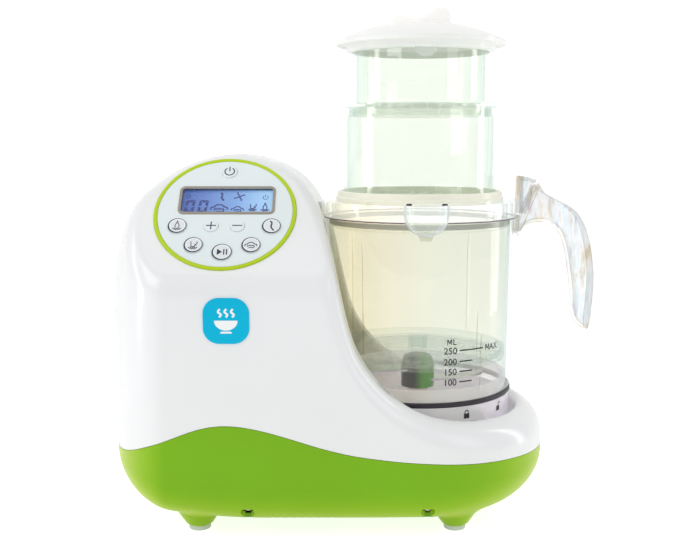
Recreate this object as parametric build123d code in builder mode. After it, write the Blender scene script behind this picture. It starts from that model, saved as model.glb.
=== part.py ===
from build123d import *
from math import asin, cos, hypot, radians, sin
import os

os.makedirs("parts", exist_ok=True)

# Baby food maker: a housing with a steam generator and a belt drive, and beside it a blending
# jar that carries a two-tier steamer. Millimetres, +Z up, front towards -Y, handle towards +X.
# The design frame has its origin on the jar's axis at table level. Every piece is moved by
# SHIFT on export, which puts the origin under the centre of the whole product's box.
SHIFT = Location((40.6, -5.9, 0))

# ---------------------------------------------------------------- driving dimensions
X_LEFT = -194.6            # left end of the housing
HALF_DEPTH = 80.0          # half depth of the housing, and radius of the pedestal
Z_BASE = 11.0              # underside of the base shell
Z_STAND = Z_BASE + 1       # foot of the bosses and posts, inside the floor's thickness
CORNER_RADIUS = 58.0       # plan radius of the two left corners
WALL = 2.5                 # wall of the housing shells
EDGE_ROUND = 12.0          # rounding along the sweeping top edge
SLOPE_ROUND = 20.0         # rounding between walls and sloping faces
BOTTOM_ROUND = 20.0        # rounding around the underside
GAP = 0.3                  # shadow gap between the two shells
SOCKET_RADIUS = 62.0       # jar socket
Z_SOCKET = 48.0            # floor of the jar socket

# top edge of the housing seen from the front, left to right: x, z
TOP = [
    (-194.6, 100), (-194.6, 118), (-194.2, 135), (-192.8, 151.6), (-189.6, 168),
    (-184.1, 183.5), (-175.5, 197), (-164.7, 207.6), (-152, 215.3), (-139.2, 220.9),
    (-126.5, 224.1), (-113.7, 225), (-101, 223.6), (-88.3, 219.6), (-77, 213.5),
    (-68.5, 205), (-62.5, 195), (-58, 183), (-54.6, 170), (-51.6, 156), (-47.6, 141),
    (-42.5, 126.5), (-35.5, 112.5), (-26, 99.5), (-14, 88), (0, 79), (15, 73.2),
    (32, 70.6), (50, 70.0),
]
# wavy line between the two shells, left to right: x, z
SPLIT = [
    (-215, 44), (-195, 48), (-179, 51), (-162, 59), (-144, 66), (-130.6, 70.9), (-119, 73),
    (-107, 72.6), (-92, 69.6), (-77, 65.2), (-61, 60.1), (-44, 55.8), (-27, 53.2),
    (-10.6, 51.4), (6, 50.5), (23, 49.4), (41, 48.4), (57, 47.3), (71.5, 45.6), (95, 43),
]

# sloping faces of the housing: the control slope in front, and one at the rear
TILT = radians(43.4)
REAR_TILT = radians(35)
PANEL = (-116.7, -45.0, 191.5)                 # centre of the round control panel
SLOPE_NORMAL = (0, -cos(TILT), sin(TILT))
REAR_NORMAL = (0, cos(REAR_TILT), sin(REAR_TILT))
SLOPING_FACES = [(PANEL[1], PANEL[2], SLOPE_NORMAL), (52, 200, REAR_NORMAL)]   # y, z, normal
SLOPE = Plane(origin=PANEL, x_dir=(1, 0, 0), z_dir=SLOPE_NORMAL)
SLOPE_AXIS = Axis(PANEL, tuple(SLOPE.z_dir))

# control panel, depths measured along the slope's normal
RING_RADIUS = 41.8         # outer radius of the ring
SEAT = -1.2                # floor of the panel's recess
BOARD = -8.0               # outer face of the panel's board

# places in plan: x, y
MOTOR = (-122.0, 0.0)
CAP = (-118.0, 12.0)
BOSS_X, BOSS_Y = -103.2, 66
BOSSES = [(BOSS_X, -BOSS_Y), (1.7, -BOSS_Y), (BOSS_X, BOSS_Y), (1.7, BOSS_Y)]
FEET = [(-135, -48), (20, -48), (-135, 48), (20, 48)]
POSTS = [(-150, -34), (20, -34), (-150, 34), (20, 34)]
INTERLOCK = (47.5, -31.5)

# heights and places shared between sections
Z_SWITCH = 28              # underside of the interlock switch
Z_PLATE = 36               # underside of the chassis plate
Z_PLATE_TOP = Z_PLATE + 2
Z_NOZZLE = 190             # axis of the steam outlet
CORD_X = -60               # where the cord enters the rear wall
Z_CORD_ENTRY = 40
COIL_LEFT, COIL_RIGHT = -150, -81    # the two cleats that the cord is wound on


# ---------------------------------------------------------------- helpers
def level(z):
    """Horizontal plane at height z, facing up."""
    return Plane.XY.offset(z)


def front_plane(y):
    """Upright plane at depth y, facing the front; its local axes are x and z."""
    return Plane.XZ.offset(-y)


def side_plane(x, y, z):
    """Upright plane facing right; its local axes are y and z."""
    return Plane(origin=(x, y, z), x_dir=(0, 1, 0), z_dir=(1, 0, 0))


def midpoint(start, end):
    return tuple((a + b) / 2 for a, b in zip(start, end))


def turned(profile):
    """Solid of revolution about the jar's axis. Profile points are radius, z."""
    with BuildPart() as piece:
        with BuildSketch(Plane.XZ):
            with BuildLine():
                Polyline(*profile, close=True)
            make_face()
        revolve(axis=Axis.Z)
    return piece


def save(builder, name):
    """Label a finished piece, put it in the export frame and write it."""
    piece = builder.part.moved(SHIFT)
    piece.label = name
    export_step(piece, "parts/" + name + ".step")


def inset_outline(points, inset):
    """Move an open outline inwards along its own normals."""
    moved = []
    for i, (x, z) in enumerate(points):
        x0, z0 = points[max(i - 1, 0)]
        x1, z1 = points[min(i + 1, len(points) - 1)]
        chord = hypot(x1 - x0, z1 - z0)
        moved.append((x + (z1 - z0) / chord * inset, z - (x1 - x0) / chord * inset))
    return moved


def blank(inset):
    """The housing's outer form, shrunk by inset on every side."""
    top = inset_outline(TOP, inset)
    half = HALF_DEPTH - inset
    left = X_LEFT + inset
    corner = CORNER_RADIUS - inset
    bottom = Z_BASE + inset
    x_right = 90               # beyond the pedestal

    def on_top_edge(edge):
        """Pick the sweeping edge, not the slopes' rims, the left end or the pedestal's seams."""
        middle = edge.center()
        straight = edge.geom_type == GeomType.LINE
        if middle.Z < 13 + inset:
            return False
        if straight and abs(edge.tangent_at(0.5).X) > 0.9:
            return False
        if straight and abs(edge.tangent_at(0.5).Y) > 0.9:
            return False
        if abs(middle.X) < 0.2 and abs(abs(middle.Y) - half) < 0.2:
            return False
        return not (middle.X > -1 and straight)

    with BuildPart() as b:
        with BuildSketch(level(bottom)):
            with BuildLine():
                Polyline((0, -half), (left - 10, -half), (left - 10, half), (0, half))
                ThreePointArc((0, half), (half, 0), (0, -half))
            make_face()
        extrude(amount=230)
        with BuildSketch(front_plane(100)):
            with BuildLine():
                Line((left, 0), top[0])
                Spline(*top, tangents=[(0, 1), (1, 0)])
                Polyline(top[-1], (x_right, top[-1][1]), (x_right, 0), (left, 0))
            make_face()
        extrude(amount=200, mode=Mode.INTERSECT)
        for y, z, normal in SLOPING_FACES:
            origin = (0, y - inset * normal[1], z - inset * normal[2])
            with BuildSketch(Plane(origin=origin, x_dir=(1, 0, 0), z_dir=normal)):
                Rectangle(500, 300)
            extrude(amount=100, mode=Mode.SUBTRACT)
        # where the sloping faces meet the front and rear walls
        breaks = [e for e in b.edges().filter_by(GeomType.LINE).filter_by(Axis.X)
                  if abs(abs(e.center().Y) - half) < 0.1 and e.center().Z > 100]
        fillet(breaks, radius=SLOPE_ROUND - inset)
        fillet([e for e in b.edges() if on_top_edge(e)], radius=EDGE_ROUND - inset)
        # the left corners come last, so that they cut through the rounded top
        with BuildSketch(Plane.XY):
            with BuildLine():
                Line((0, -half), (left + corner, -half))
                RadiusArc((left + corner, -half), (left, -half + corner), corner)
                Line((left, -half + corner), (left, half - corner))
                RadiusArc((left, half - corner), (left + corner, half), corner)
                Line((left + corner, half), (0, half))
                ThreePointArc((0, half), (half, 0), (0, -half))
            make_face()
        extrude(amount=240, mode=Mode.INTERSECT)
        fillet([e for e in b.edges() if e.center().Z < bottom + 0.2],
               radius=BOTTOM_ROUND - inset)
    return b


def under_split(rise):
    """Everything under the wavy line between the shells, raised by rise."""
    x_first, x_last = SPLIT[0][0], SPLIT[-1][0]
    with BuildPart() as b:
        with BuildSketch(front_plane(110)):
            with BuildLine():
                wave = Spline(*[(x, z + rise) for x, z in SPLIT])
                Polyline(wave @ 1, (x_last, -5), (x_first, -5), wave @ 0)
            make_face()
        extrude(amount=220)
    return b


# ================================================================= housing shells
outer = blank(0)
hollow = blank(WALL)
lip_outer = blank(WALL + 0.15)
lip_inner = blank(WALL + 1.7)
root_outer = blank(WALL - 0.7)
below_split = under_split(0)
below_gap = under_split(-GAP)
below_lip_top = under_split(4)
below_lip_root = under_split(-4)

# cord cleats on the rear wall: x, z and radius of the stem, z of the end plate
CLEATS = [(COIL_LEFT, 125, 3.4, 121.5), (COIL_RIGHT, 118, 9, 118)]

with BuildPart() as upper_housing:
    add(outer.part)
    add(hollow.part, mode=Mode.SUBTRACT)
    add(below_split.part, mode=Mode.SUBTRACT)
    # solid block that the jar socket is cut from
    with BuildSketch(level(Z_SOCKET - WALL)):
        Circle(SOCKET_RADIUS + WALL)
    extrude(amount=200)
    # bosses for the long screws that close the housing, with webs to the wall
    for x, y in BOSSES:
        with BuildSketch(level(42)):
            with Locations((x, y)):
                Circle(5.5)
        extrude(amount=24 if x > -50 else 68)
    with BuildSketch(level(79)):
        with Locations((BOSS_X, -72), (BOSS_X, 72)):
            Rectangle(4, 13)
    extrude(amount=31)
    add(outer.part, mode=Mode.INTERSECT)
    # the jar socket, open at the top
    with BuildSketch(level(Z_SOCKET)):
        Circle(SOCKET_RADIUS)
    extrude(amount=200, mode=Mode.SUBTRACT)
    # hole for the spindle seal, hole for the interlock plunger
    with BuildSketch(level(Z_SOCKET - WALL - 1)):
        Circle(9)
        with Locations(INTERLOCK):
            Circle(2.56)
    extrude(amount=WALL + 2, mode=Mode.SUBTRACT)
    # screw pilot holes
    with BuildSketch(level(41)):
        with Locations(*BOSSES):
            Circle(1.95)
    extrude(amount=16, mode=Mode.SUBTRACT)
    # steam outlet hole high in the flank
    with BuildSketch(side_plane(-70, 0, Z_NOZZLE)):
        Circle(5.02)
    extrude(amount=20, mode=Mode.SUBTRACT)
    # seat of the control panel: a round recess and an opening behind it
    with BuildSketch(SLOPE.offset(SEAT)):
        Circle(RING_RADIUS + 0.1)
    extrude(amount=30, mode=Mode.SUBTRACT)
    with BuildSketch(SLOPE.offset(BOARD)):
        Circle(37.5)
    extrude(amount=12, mode=Mode.SUBTRACT)
    # filler opening on top
    with BuildSketch(level(190)):
        with Locations(CAP):
            Circle(20)
    extrude(amount=50, mode=Mode.SUBTRACT)
    for x, z_stem, stem_radius, z_plate in CLEATS:
        with BuildSketch(front_plane(79)):
            with Locations((x, z_stem)):
                Circle(stem_radius)
        extrude(amount=-12)
        with BuildSketch(front_plane(90)):
            with Locations((x, z_plate)):
                SlotOverall(50, 12, rotation=90)
        extrude(amount=-2.5)
save(upper_housing, "upper_housing")


def lip_band(form, ceiling):
    """A band inside the split line, under the ceiling and clear of the jar socket."""
    with BuildPart() as band:
        add(form.part)
        add(lip_inner.part, mode=Mode.SUBTRACT)
        add(ceiling.part, mode=Mode.INTERSECT)
        add(below_lip_root.part, mode=Mode.SUBTRACT)
        with BuildSketch(level(30)):
            Circle(SOCKET_RADIUS + WALL + 0.5)
        extrude(amount=30, mode=Mode.SUBTRACT)
    return band


lip = lip_band(lip_outer, below_lip_top)
lip_root = lip_band(root_outer, below_gap)

with BuildPart() as base_skin:
    add(outer.part)
    add(hollow.part, mode=Mode.SUBTRACT)
    add(below_gap.part, mode=Mode.INTERSECT)
    add(lip_root.part)

# screw bosses, posts under the metal chassis plate, and the interlock switch's post
with BuildPart() as base_stands:
    with BuildSketch(level(Z_STAND)):
        with Locations(*BOSSES):
            Circle(6.5)
    extrude(amount=29.5)
    with BuildSketch(level(Z_STAND)):
        with Locations(*POSTS):
            Circle(4.5)
    extrude(amount=Z_PLATE - Z_STAND)
    with BuildSketch(level(Z_STAND)):
        with Locations(INTERLOCK):
            Rectangle(10, 8)
    extrude(amount=Z_SWITCH - Z_STAND)

with BuildPart() as base_shell:
    add(base_skin.part)
    add(lip.part)
    add(base_stands.part)
    add(outer.part, mode=Mode.INTERSECT)
    # conical feet
    for x, y in FEET:
        with BuildSketch(level(3)):
            with Locations((x, y)):
                Circle(7.6)
        extrude(amount=9.5, taper=-33)
    # clear the cones' tops from the inside, then put back what stands in there
    add(hollow.part, mode=Mode.SUBTRACT)
    add(base_stands.part)
    add(lip.part)
    add(lip_root.part)
    # deep screw holes, open below and breaking into the rounded edge
    with BuildSketch(Plane.XY):
        with Locations(*BOSSES):
            Circle(4)
    extrude(amount=22, mode=Mode.SUBTRACT)
    with BuildSketch(level(20)):
        with Locations(*BOSSES):
            Circle(2.2)
    extrude(amount=24, mode=Mode.SUBTRACT)
    # screw holes in the posts
    with BuildSketch(level(24)):
        with Locations(*POSTS):
            Circle(1.5)
    extrude(amount=20, mode=Mode.SUBTRACT)
    # sockets for the soft foot pads
    with BuildSketch(Plane.XY):
        with Locations(*FEET):
            Circle(3.05)
    extrude(amount=8.5, mode=Mode.SUBTRACT)
    # motor cooling slots
    with BuildSketch(Plane.XY):
        with Locations((-72, -55), (-72, 55)):
            with GridLocations(5, 1, 8, 1):
                SlotOverall(24, 2.2, rotation=90)
    extrude(amount=16, mode=Mode.SUBTRACT)
    # cord entry in the rear wall
    with BuildSketch(front_plane(70)):
        with Locations((CORD_X, Z_CORD_ENTRY)):
            Circle(6.05)
    extrude(amount=-15, mode=Mode.SUBTRACT)
save(base_shell, "base_shell")

# each pad is a disc on the table with a peg up into its foot
with BuildPart() as foot_pads:
    with BuildSketch(Plane.XY):
        with Locations(*FEET):
            Circle(6.6)
    extrude(amount=3)
    with BuildSketch(level(2)):
        with Locations(*FEET):
            Circle(3)
    extrude(amount=6)
    fillet(foot_pads.edges().group_by(Axis.Z)[0], radius=0.8)
save(foot_pads, "foot_pads")

# head, shank and cross slot
with BuildPart() as housing_screws:
    with BuildSketch(level(19)):
        with Locations(*BOSSES):
            Circle(3.6)
    extrude(amount=3)
    with BuildSketch(level(21)):
        with Locations(*BOSSES):
            Circle(1.9)
    extrude(amount=33)
    with BuildSketch(level(18)):
        with Locations(*BOSSES):
            Rectangle(5, 0.9)
            Rectangle(0.9, 5)
    extrude(amount=2.5, mode=Mode.SUBTRACT)
save(housing_screws, "housing_screws")

# ================================================================= control panel
# across, up the slope, radius
BUTTONS = {
    "power_button": (0.5, 31.0, 4.6),
    "plus_button": (-7.4, -10.4, 4.2),
    "minus_button": (7.8, -10.4, 4.2),
    "bottle_button": (-27.0, -10.5, 5.5),
    "blend_button": (27.5, -10.7, 5.5),
    "reheat_button": (-16.5, -24.4, 5.5),
    "play_pause_button": (0.2, -29.5, 5.8),
    "steam_button": (16.5, -24.4, 5.5),
}
BUTTON_PLACES = [(across, up) for across, up, _ in BUTTONS.values()]
BUTTON_FOOT = -3.1                     # inner end of the buttons
LCD = (0.5, 9)                         # centre of the display
LCD_WIDTH, LCD_HEIGHT, LCD_CORNER = 56, 20.3, 2.9
LCD_CLEARANCE = 0.1
RING_WIDTH = 2.3
BOARD_THICKNESS = 1.6

with BuildPart() as panel_ring:
    with BuildSketch(SLOPE.offset(SEAT)):
        Circle(RING_RADIUS)
        Circle(RING_RADIUS - RING_WIDTH, mode=Mode.SUBTRACT)
    extrude(amount=2.2)
    fillet(panel_ring.edges().group_by(SLOPE_AXIS)[-1], radius=0.7)
save(panel_ring, "panel_ring")

with BuildPart() as panel_fascia:
    with BuildSketch(SLOPE.offset(SEAT)):
        Circle(RING_RADIUS - RING_WIDTH - 0.1)
    extrude(amount=1.7)
    # three pegs down to the board
    with BuildSketch(SLOPE.offset(BOARD)):
        for angle in (55, 125, 255):
            with PolarLocations(34.4, 1, start_angle=angle):
                Circle(1.5)
    extrude(amount=7)
    # openings for the display and the buttons
    with BuildSketch(SLOPE.offset(SEAT - 0.1)):
        with Locations(LCD):
            RectangleRounded(LCD_WIDTH + 2 * LCD_CLEARANCE, LCD_HEIGHT + 2 * LCD_CLEARANCE,
                             LCD_CORNER + LCD_CLEARANCE)
        for across, up, radius in BUTTONS.values():
            with Locations((across, up)):
                Circle(radius + 0.15)
    extrude(amount=3, mode=Mode.SUBTRACT)
save(panel_fascia, "panel_fascia")

with BuildPart() as lcd_window:
    with BuildSketch(SLOPE.offset(SEAT + 0.1)):
        with Locations(LCD):
            RectangleRounded(LCD_WIDTH, LCD_HEIGHT, LCD_CORNER)
    extrude(amount=1.9)
    fillet(lcd_window.edges().group_by(SLOPE_AXIS)[-1], radius=0.5)
save(lcd_window, "lcd_window")

with BuildPart() as lcd_module:
    with BuildSketch(SLOPE.offset(BOARD)):
        with Locations(LCD):
            Rectangle(54, 18.4)
    extrude(amount=SEAT - BOARD)
save(lcd_module, "lcd_module")

# the board behind the panel carries one push switch under each button
with BuildPart() as panel_board:
    with BuildSketch(SLOPE.offset(BOARD - BOARD_THICKNESS)):
        Circle(36.6)
    extrude(amount=BOARD_THICKNESS)
    with BuildSketch(SLOPE.offset(BOARD - 0.1)):
        with Locations(*BUTTON_PLACES):
            Rectangle(5, 5)
    extrude(amount=2.9)
    with BuildSketch(SLOPE.offset(-5.4)):
        with Locations(*BUTTON_PLACES):
            Circle(1.6)
    extrude(amount=1.2)
save(panel_board, "panel_board")

# each button is a round key with a flange behind the fascia
for name, (across, up, radius) in BUTTONS.items():
    with BuildPart() as button:
        with BuildSketch(SLOPE.offset(BUTTON_FOOT)):
            with Locations((across, up)):
                Circle(radius)
        extrude(amount=4.3)
        with BuildSketch(SLOPE.offset(BUTTON_FOOT)):
            with Locations((across, up)):
                Circle(radius + 0.9)
        extrude(amount=1.7)
        fillet(button.edges().group_by(SLOPE_AXIS)[-1], radius=0.5)
    save(button, name)

# a plain raised emblem plate on the front wall
with BuildPart() as front_badge:
    with BuildSketch(front_plane(-HALF_DEPTH)):
        with Locations((-112.9, 133.7)):
            RectangleRounded(26, 26, 9)
    extrude(amount=0.8)
    fillet(front_badge.edges().group_by(Axis.Y)[0], radius=0.4)
save(front_badge, "front_badge")

# ================================================================= drive
SMALL_PULLEY, BIG_PULLEY = 9.0, 27.0     # belt pulley radii, one third speed
FLANGE_RISE, FLANGE_THICKNESS = 2.2, 1.6
Z_PULLEY, Z_PULLEY_TOP = 16, 28
BELT_SIDE_GAP = 0.6                      # between belt and pulley flange
SHAFT_RADIUS = 4.0                       # motor shaft, spindle and blade shaft
CASE_BORE = 27.5                         # inner radius of the motor case
ROTOR_RADIUS = 18.5
Z_CORE, CORE_HEIGHT = 46, 30             # stator and rotor core
COUPLING_RADIUS = 13
DOG_RADIUS, DOG_BORE, DOG_WIDTH = 12.5, 6, 7

with BuildPart() as chassis_plate:
    with BuildSketch(level(Z_PLATE)):
        with Locations((-65, 0)):
            SlotCenterToCenter(130, 92)
        with Locations(MOTOR):
            Circle(7, mode=Mode.SUBTRACT)
        Circle(14.05, mode=Mode.SUBTRACT)
        with Locations(*POSTS):
            Circle(1.6, mode=Mode.SUBTRACT)
        with Locations((-85, 20), (-85, -20), (-50, 20), (-50, -20)):
            Circle(5, mode=Mode.SUBTRACT)
    extrude(amount=Z_PLATE_TOP - Z_PLATE)
save(chassis_plate, "chassis_plate")

with BuildPart() as chassis_screws:
    with BuildSketch(level(Z_PLATE_TOP)):
        with Locations(*POSTS):
            Circle(3)
    extrude(amount=2)
    with BuildSketch(level(26)):
        with Locations(*POSTS):
            Circle(1.45)
    extrude(amount=12.5)
save(chassis_screws, "chassis_screws")

with BuildPart() as motor_case:
    with BuildSketch(level(Z_PLATE_TOP)):
        with Locations(MOTOR):
            Circle(30)
    extrude(amount=46)
    fillet(motor_case.edges().group_by(Axis.Z)[-1], radius=2)
    with BuildSketch(level(Z_PLATE_TOP + 2)):
        with Locations(MOTOR):
            Circle(CASE_BORE)
    extrude(amount=42, mode=Mode.SUBTRACT)
    # shaft hole and a ring of round openings, through both ends
    with BuildSketch(level(Z_PLATE_TOP - 1)):
        with Locations(MOTOR):
            Circle(SHAFT_RADIUS + 0.05)
    extrude(amount=60, mode=Mode.SUBTRACT)
    with BuildSketch(level(Z_PLATE_TOP - 1)):
        with Locations(MOTOR):
            with PolarLocations(14, 6):
                Circle(3.5)
    extrude(amount=60, mode=Mode.SUBTRACT)
save(motor_case, "motor_case")

with BuildPart() as motor_stator:
    with BuildSketch(level(Z_CORE)):
        with Locations(MOTOR):
            Circle(CASE_BORE)
            Circle(ROTOR_RADIUS + 0.5, mode=Mode.SUBTRACT)
    extrude(amount=CORE_HEIGHT)
save(motor_stator, "motor_stator")

# slotted core on a through shaft
with BuildPart() as motor_rotor:
    with BuildSketch(level(Z_CORE)):
        with Locations(MOTOR):
            Circle(ROTOR_RADIUS)
    extrude(amount=CORE_HEIGHT)
    with BuildSketch(level(Z_CORE)):
        with Locations(MOTOR):
            with PolarLocations(ROTOR_RADIUS, 12):
                Rectangle(5, 2)
    extrude(amount=CORE_HEIGHT, mode=Mode.SUBTRACT)
    with BuildSketch(level(15.5)):
        with Locations(MOTOR):
            Circle(SHAFT_RADIUS)
    extrude(amount=71)
save(motor_rotor, "motor_rotor")

# flat-belt pulleys with two flanges; the big one has six lightening holes
for name, axis_x, radius in (("motor_pulley", MOTOR[0], SMALL_PULLEY),
                             ("spindle_pulley", 0.0, BIG_PULLEY)):
    bore = axis_x + SHAFT_RADIUS
    tread = axis_x + radius
    flange = tread + FLANGE_RISE
    z_low = Z_PULLEY + FLANGE_THICKNESS
    z_high = Z_PULLEY_TOP - FLANGE_THICKNESS
    with BuildPart() as pulley:
        with BuildSketch(Plane.XZ):
            with BuildLine():
                Polyline((bore, Z_PULLEY), (flange, Z_PULLEY), (flange, z_low), (tread, z_low),
                         (tread, z_high), (flange, z_high), (flange, Z_PULLEY_TOP),
                         (bore, Z_PULLEY_TOP), close=True)
            make_face()
        revolve(axis=Axis((axis_x, 0, 0), (0, 0, 1)))
        if radius == BIG_PULLEY:
            with BuildSketch(level(Z_PULLEY)):
                with PolarLocations(15.5, 6):
                    Circle(4.6)
            extrude(amount=Z_PULLEY_TOP - Z_PULLEY, mode=Mode.SUBTRACT)
    save(pulley, name)

# flat belt round both pulleys; the straight runs touch them at the angle of contact
contact = radians(90) + asin((BIG_PULLEY - SMALL_PULLEY) / abs(MOTOR[0]))
z_belt = Z_PULLEY + FLANGE_THICKNESS + BELT_SIDE_GAP
belt_width = Z_PULLEY_TOP - FLANGE_THICKNESS - BELT_SIDE_GAP - z_belt
with BuildPart() as drive_belt:
    for grow, mode in ((1.7, Mode.ADD), (0.03, Mode.SUBTRACT)):
        small, big = SMALL_PULLEY + grow, BIG_PULLEY + grow
        x_small, y_small = MOTOR[0] + small * cos(contact), small * sin(contact)
        x_big, y_big = big * cos(contact), big * sin(contact)
        with BuildSketch(level(z_belt)):
            with BuildLine():
                Line((x_small, y_small), (x_big, y_big))
                ThreePointArc((x_big, y_big), (big, 0), (x_big, -y_big))
                Line((x_big, -y_big), (x_small, -y_small))
                ThreePointArc((x_small, -y_small), (MOTOR[0] - small, 0), (x_small, y_small))
            make_face()
        extrude(amount=belt_width, mode=mode)
save(drive_belt, "drive_belt")

with BuildPart() as spindle:
    with BuildSketch(level(14.5)):
        Circle(SHAFT_RADIUS)
    extrude(amount=38)
    chamfer(spindle.edges().group_by(Axis.Z)[-1], length=0.5)
save(spindle, "spindle")

# sleeve with a flange on top of the chassis plate and a small lip over the bearings
BEARING_HOUSING = [
    (11.02, 29.5), (14, 29.5), (14, Z_PLATE_TOP), (22, Z_PLATE_TOP), (22, 40), (14, 40),
    (14, 44.5), (9.5, 44.5), (9.5, 43.2), (11.02, 43.2),
]
save(turned(BEARING_HOUSING), "bearing_housing")

# two sealed bearings as plain rings
with BuildPart() as spindle_bearings:
    for z in (29.6, 36.4):
        with BuildSketch(level(z)):
            Circle(11)
            Circle(SHAFT_RADIUS + 0.04, mode=Mode.SUBTRACT)
        extrude(amount=6.6)
save(spindle_bearings, "spindle_bearings")

SHAFT_SEAL = [
    (4.06, 45.6), (9, 45.6), (9, Z_SOCKET), (10.5, Z_SOCKET), (10.5, 49), (4.06, 49.5),
]
save(turned(SHAFT_SEAL), "shaft_seal")

# two-dog couplings with free play, so that the jar can turn to its lock;
# this is the lower one, and the jar carries its mate
with BuildPart() as drive_coupling:
    with BuildSketch(level(50)):
        Circle(COUPLING_RADIUS)
        Circle(SHAFT_RADIUS, mode=Mode.SUBTRACT)
    extrude(amount=3.4)
    with BuildSketch(level(53.4)):
        Circle(DOG_RADIUS)
        Circle(DOG_BORE, mode=Mode.SUBTRACT)
        Rectangle(40, DOG_WIDTH, mode=Mode.INTERSECT)
    extrude(amount=5.2)
save(drive_coupling, "drive_coupling")

# ================================================================= power and interlock
Y_POWER_BOARD = 66         # front face of the board; its components stand towards the front

with BuildPart() as power_board:
    with BuildSketch(front_plane(Y_POWER_BOARD)):
        with Locations((-140, 84)):
            Rectangle(52, 42)
    extrude(amount=-1.6)
    with BuildSketch(front_plane(Y_POWER_BOARD)):
        with Locations((-152, 92)):
            Rectangle(20, 20)
    extrude(amount=18)
    with BuildSketch(front_plane(Y_POWER_BOARD)):
        with Locations((-132, 94), (-124, 76)):
            Circle(5)
    extrude(amount=14)
    with BuildSketch(front_plane(Y_POWER_BOARD)):
        with Locations((-148, 72)):
            Rectangle(16, 8)
    extrude(amount=9)
save(power_board, "power_board")

with BuildPart() as interlock_switch:
    with BuildSketch(level(Z_SWITCH)):
        with Locations(INTERLOCK):
            Rectangle(12, 6.4)
    extrude(amount=12)
save(interlock_switch, "interlock_switch")

# pin through the socket floor, with a collar under it
with BuildPart() as interlock_plunger:
    with BuildSketch(level(41.6)):
        with Locations(INTERLOCK):
            Circle(2.5)
    extrude(amount=10.3)
    with BuildSketch(level(42)):
        with Locations(INTERLOCK):
            Circle(4)
    extrude(amount=1.5)
    fillet(interlock_plunger.edges().group_by(Axis.Z)[-1], radius=1)
save(interlock_plunger, "interlock_plunger")

# ================================================================= water and steam
TANK = (-136, 25)
TANK_PORT = (-110, 30)
BOILER = (-82.0, 22.0)
STEAM_PORT = (-80.0, 14.0)
THERMOSTAT = (-84, 29)
NOZZLE_X = -77             # upright leg of the nozzle's elbow
Z_VESSEL = 110             # underside of tank and boiler
Z_PORT = 102               # lower end of their bottom ports
Z_STEAM_PORT = 154         # upper end of the boiler's steam port
Z_ELBOW = 176              # lower end of the nozzle's elbow
VESSEL_WALL = 2
PIPE_RADIUS, PIPE_BORE = 4, 2.6

with BuildPart() as water_tank:
    with BuildSketch(level(Z_VESSEL)):
        with Locations(TANK):
            RectangleRounded(72, 58, 8)
    extrude(amount=78)
    fillet(water_tank.edges().group_by(Axis.Z)[0], radius=3)
    # neck under the filler cap, and the port below
    with BuildSketch(level(186)):
        with Locations(CAP):
            Circle(13.8)
    extrude(amount=26)
    with BuildSketch(level(Z_PORT)):
        with Locations(TANK_PORT):
            Circle(PIPE_RADIUS)
    extrude(amount=9)
    # hollow the body, the neck and the port
    with BuildSketch(level(Z_VESSEL + VESSEL_WALL)):
        with Locations(TANK):
            RectangleRounded(72 - 2 * VESSEL_WALL, 58 - 2 * VESSEL_WALL, 8 - VESSEL_WALL)
    extrude(amount=78 - 2 * VESSEL_WALL, mode=Mode.SUBTRACT)
    with BuildSketch(level(180)):
        with Locations(CAP):
            Circle(12)
    extrude(amount=40, mode=Mode.SUBTRACT)
    with BuildSketch(level(Z_PORT - 2)):
        with Locations(TANK_PORT):
            Circle(PIPE_BORE)
    extrude(amount=20, mode=Mode.SUBTRACT)
save(water_tank, "water_tank")

# flush filler cap that follows the curved top, with a skirt round the tank's neck
with BuildPart() as cap_disc:
    add(outer.part)
    add(hollow.part, mode=Mode.SUBTRACT)
    with BuildSketch(level(190)):
        with Locations(CAP):
            Circle(19.7)
    extrude(amount=60, mode=Mode.INTERSECT)
with BuildPart() as cap_skirt:
    with BuildSketch(level(205)):
        with Locations(CAP):
            Circle(17)
            Circle(15, mode=Mode.SUBTRACT)
    extrude(amount=19)
    add(hollow.part, mode=Mode.INTERSECT)
with BuildPart() as filler_cap:
    add(cap_disc.part)
    add(cap_skirt.part)
    # finger notch
    with BuildSketch(level(223.6)):
        with Locations((CAP[0], CAP[1] + 11)):
            SlotOverall(16, 5)
    extrude(amount=6, mode=Mode.SUBTRACT)
save(filler_cap, "filler_cap")

with BuildPart() as boiler:
    with BuildSketch(level(Z_VESSEL)):
        with Locations(BOILER):
            Circle(15)
    extrude(amount=40)
    fillet(boiler.edges().group_by(Axis.Z)[-1], radius=3)
    # steam port above, water port below
    with BuildSketch(level(Z_STEAM_PORT - 6)):
        with Locations(STEAM_PORT):
            Circle(PIPE_RADIUS)
    extrude(amount=6)
    with BuildSketch(level(Z_PORT)):
        with Locations(BOILER):
            Circle(PIPE_RADIUS)
    extrude(amount=9)
    # hollow the body and the two ports
    with BuildSketch(level(Z_VESSEL + VESSEL_WALL)):
        with Locations(BOILER):
            Circle(15 - VESSEL_WALL)
    extrude(amount=40 - 2 * VESSEL_WALL, mode=Mode.SUBTRACT)
    with BuildSketch(level(145)):
        with Locations(STEAM_PORT):
            Circle(PIPE_BORE)
    extrude(amount=20, mode=Mode.SUBTRACT)
    with BuildSketch(level(Z_PORT - 2)):
        with Locations(BOILER):
            Circle(PIPE_BORE)
    extrude(amount=15, mode=Mode.SUBTRACT)
save(boiler, "boiler")

with BuildPart() as heating_element:
    with BuildSketch(level(Z_VESSEL - 5)):
        with Locations(BOILER):
            Circle(13)
            Circle(6, mode=Mode.SUBTRACT)
    extrude(amount=5)
    fillet(heating_element.edges().group_by(Axis.Z)[0], radius=1.5)
save(heating_element, "heating_element")

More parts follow.
